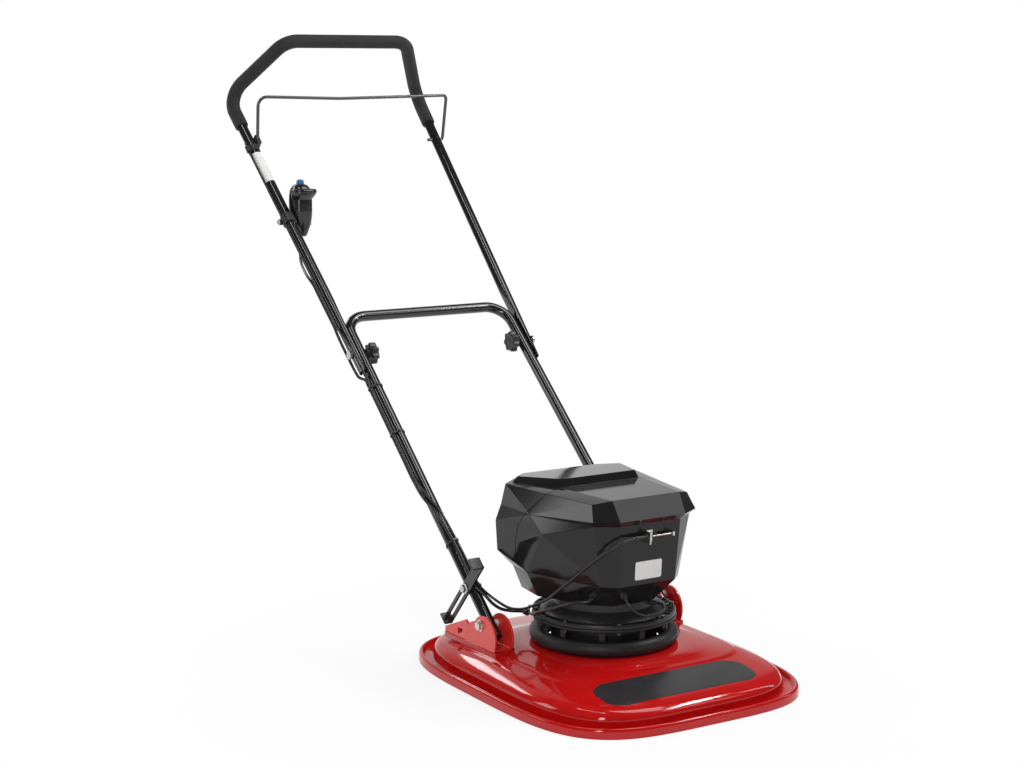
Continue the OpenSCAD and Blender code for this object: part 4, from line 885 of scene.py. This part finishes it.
# Switch box: middle of its foot, then height, half width, half depth and squareness of its levels
SWITCH = Vector((-187.5, 876.0, 768.0))
SWITCH_LEVELS = [
    (0, 10, 11, 2.3), (1.5, 11.6, 12.6, 2.3), (8, 14, 15.4, 2.4), (16, 16.8, 18.4, 2.5),
    (26, 19.6, 21.4, 2.6), (38, 21.6, 23.6, 2.7), (50, 22.4, 24.6, 2.8), (62, 22.4, 24.6, 2.8),
    (72, 22.4, 24.6, 2.8), (84, 22, 24.2, 2.8), (92, 21.2, 23.4, 2.7), (99, 20, 22, 2.6),
    (104, 17.6, 19.4, 2.5), (107.5, 14.8, 16.2, 2.4), (109.8, 12, 13, 2.3), (111, 9.2, 9.8, 2.2),
]
SWITCH_SEAM = 0.25
# The visor's height over the box's foot, share of its full reach and tightness round the box
VISOR_ROWS = (
    (76, 0, 0.97), (81, 0.3, 1), (86, 0.72, 1), (90, 0.95, 1), (93, 1, 1), (96, 0.97, 1), (99, 0.8, 1),
    (102, 0, 0.88),
)
VISOR_REACH = 12.5
VISOR_SQUARE = 0.76
# Half width and half depth of the box under the visor, its middle and half span in degrees, and its arch
VISOR_HALF_X, VISOR_HALF_Y = 21.2, 23.4
VISOR_MIDDLE, VISOR_SPAN = -78, 98
VISOR_ARCH = 2.5
BUTTON = [(0, 94.5), (8, 94.5), (8, 116), (7.6, 117.6), (6.6, 119), (4.6, 120.2), (2.4, 120.8), (0, 121)]


def switch_half(front):
    """Rings of the switch box's front or rear half"""
    rings = []
    for z, half_x, half_y, square in smooth_rows(SWITCH_LEVELS, 2):
        ring = []
        for k in range(33):
            turn = math.pi * k / 32 + (math.pi if front else 0)
            x = half_x * squared(math.cos(turn), 2 / square)
            y = half_y * squared(math.sin(turn), 2 / square)
            ring.append(SWITCH + Vector((x, y + (-SWITCH_SEAM if front else SWITCH_SEAM), z)))
        rings.append(ring)
    return rings


def visor():
    """Rings of the visor over the switch box's front"""
    rings = []
    for z, share, tight in VISOR_ROWS:
        ring = []
        for k in range(25):
            way = k / 12 - 1
            turn = math.radians(VISOR_MIDDLE + VISOR_SPAN * way)
            jut = VISOR_REACH * share * (1 - way * way) ** 0.45
            x = (VISOR_HALF_X * tight + jut) * squared(math.cos(turn), VISOR_SQUARE)
            y = (VISOR_HALF_Y * tight + jut) * squared(math.sin(turn), VISOR_SQUARE)
            ring.append(SWITCH + Vector((x, y, z + VISOR_ARCH * share * (1 - way * way))))
        rings.append(ring)
    return rings


class MOWER_OT_switch(bpy.types.Operator):
    """Switch box in two halves with its visor, and the start button"""

    bl_idname = "mower.switch"
    bl_label = "Switch box"

    def execute(self, context):
        front = mesh_of("switch_case_front", *together(loft(switch_half(True)), loft(visor())), sharp=48.0)
        dress(front, "upper", "switch_black", ["switch_front"])
        back = mesh_of("switch_case_back", *loft(switch_half(False)), sharp=48.0)
        dress(back, "upper", "switch_black", ["switch_back"])
        knob = turned(BUTTON, 40, Matrix.Translation(SWITCH), closed=False)
        cap = mesh_of("start_button_cap", *knob, sharp=40.0)
        dress(cap, "button", "button_blue", ["start_button"])
        return {"FINISHED"}


# Cables: radius, and place beside the left legs across and out of the handle's plane
CABLE_R = 2.5
LEAD_R = 3.0
CABLE_SIDE = (-14.2, 3.0)
LEAD_SIDE = (-13.4, -5.5)
# Where the fold stretches begin and end, and where the free ones leave the lower leg
FOLD_FROM = 75
FOLD_TO = 596
FREE_FROM = 75
# Points passed, in the lower handle's plane for LOW, the upper's for UP and FOLD, and in the frame for FREE
CABLE_LOW = [(-207.7, 345, 3), (-204, 300, 11), (-196, 250, 17), (-190, 184, 15.2), (-188.5, 110, 15)]
LEAD_LOW = [
    (-207.5, 345, -4.5), (-209, 300, 3), (-204.5, 250, 14.5), (-197.5, 184, 15.5), (-196.5, 110, 15.5),
]
LEAD_UP = [(-187.5, 340, -50), (-197, 318, -54), (-207, 290, -47), (-217, 258, -32), (-226, 228, -16)]
CABLE_FOLD = [(-222, 60, 5), (-219, 25, 11), (-217, 0, 13.5), (-214.5, -30, 12.5), (-211, -55, 8)]
LEAD_FOLD = [(-221.5, 60, -8), (-218.5, 25, -12), (-216, 0, -14), (-214, -34, -14.5), (-212.5, -49, -12.5)]
CABLE_FREE = [
    (-173, 128, 147), (-161, 113, 135), (-152, 92, 128), (-145, 60, 132), (-142, 22, 147), (-140, -20, 168),
    (-136, -56, 194), (-124, -92, 226), (-108, -126, 258), (-91, -150, 281), (-72, -159, 293),
    (-56, -157, 296),
]
LEAD_FREE = [
    (-183.5, 124, 148), (-172, 116, 133), (-157, 111, 122), (-140, 104, 117.5), (-126, 90, 118),
    (-124, 75, 119.5), (-125.5, 60, 121), (-134, 38, 126), (-140, 5, 138), (-136, -30, 152),
    (-129, -60, 165), (-117, -84, 174),
]


def beside_upper(side, t):
    """A cable's place beside the left upper leg"""
    return in_upper(-leg_x(t) + side[0], t, side[1])


def beside_lower(side, s):
    """A cable's place beside the left lower leg"""
    return in_lower(-LOWER_X + side[0], s, side[1])


def along_lower(side, points):
    """A cable's stretch down the left lower leg, to where it leaves it"""
    x, _, w = points[-1]
    start = [beside_lower(side, s) for s in (FOLD_TO, 400)]
    return [*start, *(in_lower(*p) for p in points), in_lower(x, FREE_FROM, w)]


def into_tray():
    """The switch lead's last points, at the gland on the tray's left side"""
    a, b, c = Vector((-76, -66, 158)), Vector((-86, -114, 204)), Vector((-122, 40, 158))
    out = (b - a).cross(c - a).normalized()
    gland = a + (c - a) * 0.05 + (b - a) * 0.64
    return [gland + out * 20, gland + out * 2.6]


def motor_lead():
    """The motor lead's loop from the gland under the front cover to the plug on the neck"""
    out = Vector((0, -46, -45)).normalized()
    gland = Vector((-44, -92 - 45 * 0.66, 158 + 46 * 0.66))
    plug = Vector((math.cos(math.radians(-62)), math.sin(math.radians(-62)), 0))
    height = Vector((0, 0, 151))
    return [
        gland + out * 2, gland + out * 13, (-43, -140, 170), (-36, -145, 161), (-22, -144, 152),
        (-2, -141, 145.5), (24, -135, 145), (47, -124, 148), plug * 118 + height, plug * 105 + height,
    ]


def cable_routes():
    """Points along each cable stretch"""
    low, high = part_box("cable_barrel")
    barrel = Vector((low.x, (low.y + high.y) / 2, (low.z + high.z) / 2)) / MM
    cable_low, lead_low = along_lower(CABLE_SIDE, CABLE_LOW), along_lower(LEAD_SIDE, LEAD_LOW)
    return {
        "control_cable_upper": [beside_upper(CABLE_SIDE, t) for t in (576, 425, 250, FOLD_FROM)],
        "control_cable_fold": [
            beside_upper(CABLE_SIDE, FOLD_FROM), *(in_upper(*p) for p in CABLE_FOLD),
            beside_lower(CABLE_SIDE, FOLD_TO),
        ],
        "control_cable_lower": cable_low,
        "control_cable_free": [cable_low[-1], *CABLE_FREE, barrel - Vector((7, 0, 0)), barrel],
        "switch_lead_upper": [
            SWITCH + UP * 14, SWITCH - UP * 4, *(in_upper(*p) for p in LEAD_UP),
            *(beside_upper(LEAD_SIDE, t) for t in (195, 170, FOLD_FROM)),
        ],
        "switch_lead_fold": [
            beside_upper(LEAD_SIDE, FOLD_FROM), *(in_upper(*p) for p in LEAD_FOLD),
            beside_lower(LEAD_SIDE, FOLD_TO + 10), beside_lower(LEAD_SIDE, FOLD_TO),
        ],
        "switch_lead_lower": lead_low,
        "switch_lead_free": [lead_low[-1], *LEAD_FREE, *into_tray()],
        "motor_lead": motor_lead(),
    }


class MOWER_OT_cables(bpy.types.Operator):
    """Control cable, switch lead and motor lead along their routes"""

    bl_idname = "mower.cables"
    bl_label = "Cables"

    def execute(self, context):
        sides = context.scene.mower_sizes.cable_sides
        for name, points in cable_routes().items():
            radius = LEAD_R if name.startswith("switch") else CABLE_R
            cable = mesh_of(name + "_run", *loft(swept(flowing(points, 10), radius, sides)), sharp=60.0)
            part = name.split("_")[-1]
            if part == "free":
                dress(cable, None, "cable_black", [name])
                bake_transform(cable)
            elif part == "fold":
                dress(cable, None, "cable_black", [name])
                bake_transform(cable)
            else:
                dress(cable, part if part in ("upper", "lower") else "deck", "cable_black", [name])
        return {"FINISHED"}


# Solids that stay and get rounded edges
ROUNDED = (
    "base_bolts", "motor_screws", "blade_bolt", "bracket_left", "bracket_right", "bracket_screws",
    "pivot_bolts", "lock_plate", "lock_bolt", "fold_bolts", "bail_hub", "cable_stop", "switch_clamp",
    "clamp_screw", "cable_ties", "lead_fittings", "blade", "battery_pack", "controller", "battery_cradle",
    "motor_can",
)


class MOWER_OT_solids(bpy.types.Operator):
    """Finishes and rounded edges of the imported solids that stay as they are"""

    bl_idname = "mower.solids"
    bl_label = "Solids that stay"

    def execute(self, context):
        width = context.scene.mower_sizes.steel_round
        slots = {row["node"]: row["material_slot"] for row in frame["record"]["subparts"]}
        for node, solid in NODES.items():
            solid.data.materials.clear()
            solid.data.materials.append(finish_of(slots[node]))
            shade(solid.data, 30.0)
            if node in ROUNDED:
                soften(node, width)
        return {"FINISHED"}


# Name, place, target, size and power of each lamp
LAMPS = (
    ("key", (-2.6, -2.6, 1.5), (0, 0.1, 0.3), (0.6, 2.0), 40.0),
    ("ceiling", (1.0, -0.2, 3.0), (0.2, -0.1, 0.1), (1.5, 1.3), 26.0),
    ("front", (1.8, -0.6, 2.7), (0, -0.2, 0.1), (1.4, 0.16), 28.0),
    ("side", (2.9, -0.6, 1.8), (0, 0.2, 0.4), (0.2, 2.4), 10.0),
    ("top", (-0.9, 0.05, 3.0), (-0.9, 0.06, 0.2), (0.2, 2.0), 15.0),
    ("rear", (-0.9, 3.0, 2.1), (0, 0.2, 0.2), (1.6, 0.3), 14.0),
    ("left", (-2.0, 2.2, 0.42), (-0.1, 0.2, 0.3), (1.0, 0.72), 1.2),
    ("flank", (-2.385, 1.6125, 1.377), (-0.035, -0.0275, 0.507), (0.75, 0.85), 8.8),
    ("brow", (1.72, -1.74, 2.2), (0, -0.14, 0.34), (0.8, 0.8), 5.0),
)
# Bright side of the room as glossy surfaces mirror it, and the level of the light that it gives
BRIGHT_SIDE = (0.2, 0.96, 0.2)
BRIGHT_SPAN = (0.74, 0.95)
MIRRORED_SPAN = (0.09, 0.9)
ROOM_LEVEL = 0.24
# Floor: half span, tiles along it, and where it fades from showing shadows to plain white
FLOOR_HALF = 9000.0
FLOOR_TILES = 6
FADE_SPAN = (0.4, 0.9)
FADE_SHARE = (0.82, 1.0)
FLOOR_MIRRORED = 0.95


def worked(tree, operation, first, second):
    """A maths node's result from two sockets, or from a socket and a number"""
    node = tree.nodes.new("ShaderNodeMath")
    node.operation = operation
    tree.links.new(first, node.inputs[0])
    if isinstance(second, float):
        node.inputs[1].default_value = second
    else:
        tree.links.new(second, node.inputs[1])
    return node.outputs[0]


def add_camera(scene):
    """The camera fitted to the photo"""
    lens = bpy.data.cameras.new("camera")
    lens.sensor_width = 36.0
    lens.lens = 69.19
    lens.clip_end = 60.0
    camera = bpy.data.objects.new("camera", lens)
    camera.location = (-2.033, -2.932, 1.1185)
    camera.rotation_euler = (math.radians(90 - 9.06), 0, math.radians(-31.98))
    scene.collection.objects.link(camera)
    scene.camera = camera


def add_world(scene):
    """White background over a dim room with one bright side"""
    world = bpy.data.worlds.new("studio")
    world.use_nodes = True
    scene.world = world
    tree = world.node_tree
    back = tree.nodes["Background"]
    back.inputs["Color"].default_value = (1.0, 1.0, 1.0, 1.0)
    rays = tree.nodes.new("ShaderNodeLightPath").outputs
    place = tree.nodes.new("ShaderNodeTexCoord")
    facing = tree.nodes.new("ShaderNodeVectorMath")
    facing.operation = "DOT_PRODUCT"
    facing.inputs[1].default_value = BRIGHT_SIDE
    tree.links.new(place.outputs["Generated"], facing.inputs[0])
    room = ranged(tree, facing.outputs["Value"], BRIGHT_SPAN, MIRRORED_SPAN)
    level = tree.nodes.new("ShaderNodeMapRange")
    level.inputs["To Min"].default_value = ROOM_LEVEL
    tree.links.new(rays["Is Glossy Ray"], level.inputs["Value"])
    tree.links.new(room, level.inputs["To Max"])
    clear = worked(tree, "MAXIMUM", rays["Is Camera Ray"], rays["Is Transmission Ray"])
    seen = worked(tree, "MAXIMUM", level.outputs["Result"], clear)
    tree.links.new(seen, back.inputs["Strength"])


def floor_finish():
    """White floor that keeps the object's shadow"""
    pale = bpy.data.materials.new("floor_white")
    pale.use_nodes = True
    tree = pale.node_tree
    tree.nodes.remove(tree.nodes["Principled BSDF"])
    matte = tree.nodes.new("ShaderNodeBsdfDiffuse")
    matte.inputs["Color"].default_value = (0.9, 0.9, 0.9, 1.0)
    glow = tree.nodes.new("ShaderNodeEmission")
    glow.inputs["Color"].default_value = (1.0, 1.0, 1.0, 1.0)
    rays = tree.nodes.new("ShaderNodeLightPath").outputs
    spot = tree.nodes.new("ShaderNodeNewGeometry")
    far = tree.nodes.new("ShaderNodeVectorMath")
    far.operation = "LENGTH"
    tree.links.new(spot.outputs["Position"], far.inputs[0])
    fade = ranged(tree, far.outputs["Value"], FADE_SPAN, FADE_SHARE)
    mirrored = worked(tree, "MULTIPLY", rays["Is Glossy Ray"], FLOOR_MIRRORED)
    looked = worked(tree, "MAXIMUM", rays["Is Camera Ray"], mirrored)
    both = tree.nodes.new("ShaderNodeMixShader")
    tree.links.new(worked(tree, "MULTIPLY", looked, fade), both.inputs["Fac"])
    tree.links.new(matte.outputs[0], both.inputs[1])
    tree.links.new(glow.outputs[0], both.inputs[2])
    tree.links.new(both.outputs[0], tree.nodes["Material Output"].inputs["Surface"])
    return pale


class MOWER_OT_stage(bpy.types.Operator):
    """Pale floor, soft studio light and the camera"""

    bl_idname = "mower.stage"
    bl_label = "Stage"

    def execute(self, context):
        scene = context.scene
        scene.view_settings.view_transform = "Standard"
        add_camera(scene)
        add_world(scene)
        lines = [FLOOR_HALF * (2 * i / FLOOR_TILES - 1) for i in range(FLOOR_TILES + 1)]
        grid = [Vector((x, y, 0)) for y in lines for x in lines]
        floor = mesh_of("floor", grid, tiles_of(FLOOR_TILES, FLOOR_TILES))
        floor.data.materials.append(floor_finish())
        for name, spot, target, size, power in LAMPS:
            light = bpy.data.lights.new(name, "AREA")
            light.shape = "RECTANGLE"
            light.size, light.size_y = size
            light.energy = power
            lamp = bpy.data.objects.new(name, light)
            lamp.location = spot
            lamp.rotation_euler = (Vector(target) - Vector(spot)).to_track_quat("-Z", "Y").to_euler()
            scene.collection.objects.link(lamp)
        return {"FINISHED"}


class MOWER_PT_panel(bpy.types.Panel):
    """Lists the mower's pieces in the sidebar"""

    bl_idname = "MOWER_PT_panel"
    bl_label = "Hover mower"
    bl_space_type = "VIEW_3D"
    bl_region_type = "UI"
    bl_category = "Mower"

    def draw(self, context):
        for group in (context.scene.mower_sizes, context.scene.mower_colours):
            for name in group.__annotations__:
                self.layout.prop(group, name)
        for step in STEPS:
            self.layout.operator(step.bl_idname)


STEPS = (
    MOWER_OT_stage, MOWER_OT_cables, MOWER_OT_solids, MOWER_OT_deck, MOWER_OT_air_ring, MOWER_OT_housing,
    MOWER_OT_tubes, MOWER_OT_knobs, MOWER_OT_switch,
)
CLASSES = (MowerSizes, MowerColours, *STEPS, MOWER_PT_panel)


def register():
    """Registers the classes and the scene's settings"""
    for each in CLASSES:
        bpy.utils.register_class(each)
    bpy.types.Scene.mower_sizes = bpy.props.PointerProperty(type=MowerSizes)
    bpy.types.Scene.mower_colours = bpy.props.PointerProperty(type=MowerColours)


def unregister():
    """Takes the classes and the scene's settings away"""
    del bpy.types.Scene.mower_colours
    del bpy.types.Scene.mower_sizes
    for each in reversed(CLASSES):
        bpy.utils.unregister_class(each)


def main():
    """Builds every piece"""
    register()
    for name in (step.bl_idname.split(".")[1] for step in STEPS):
        getattr(bpy.ops.mower, name)()


if __name__ == "__main__":
    main()
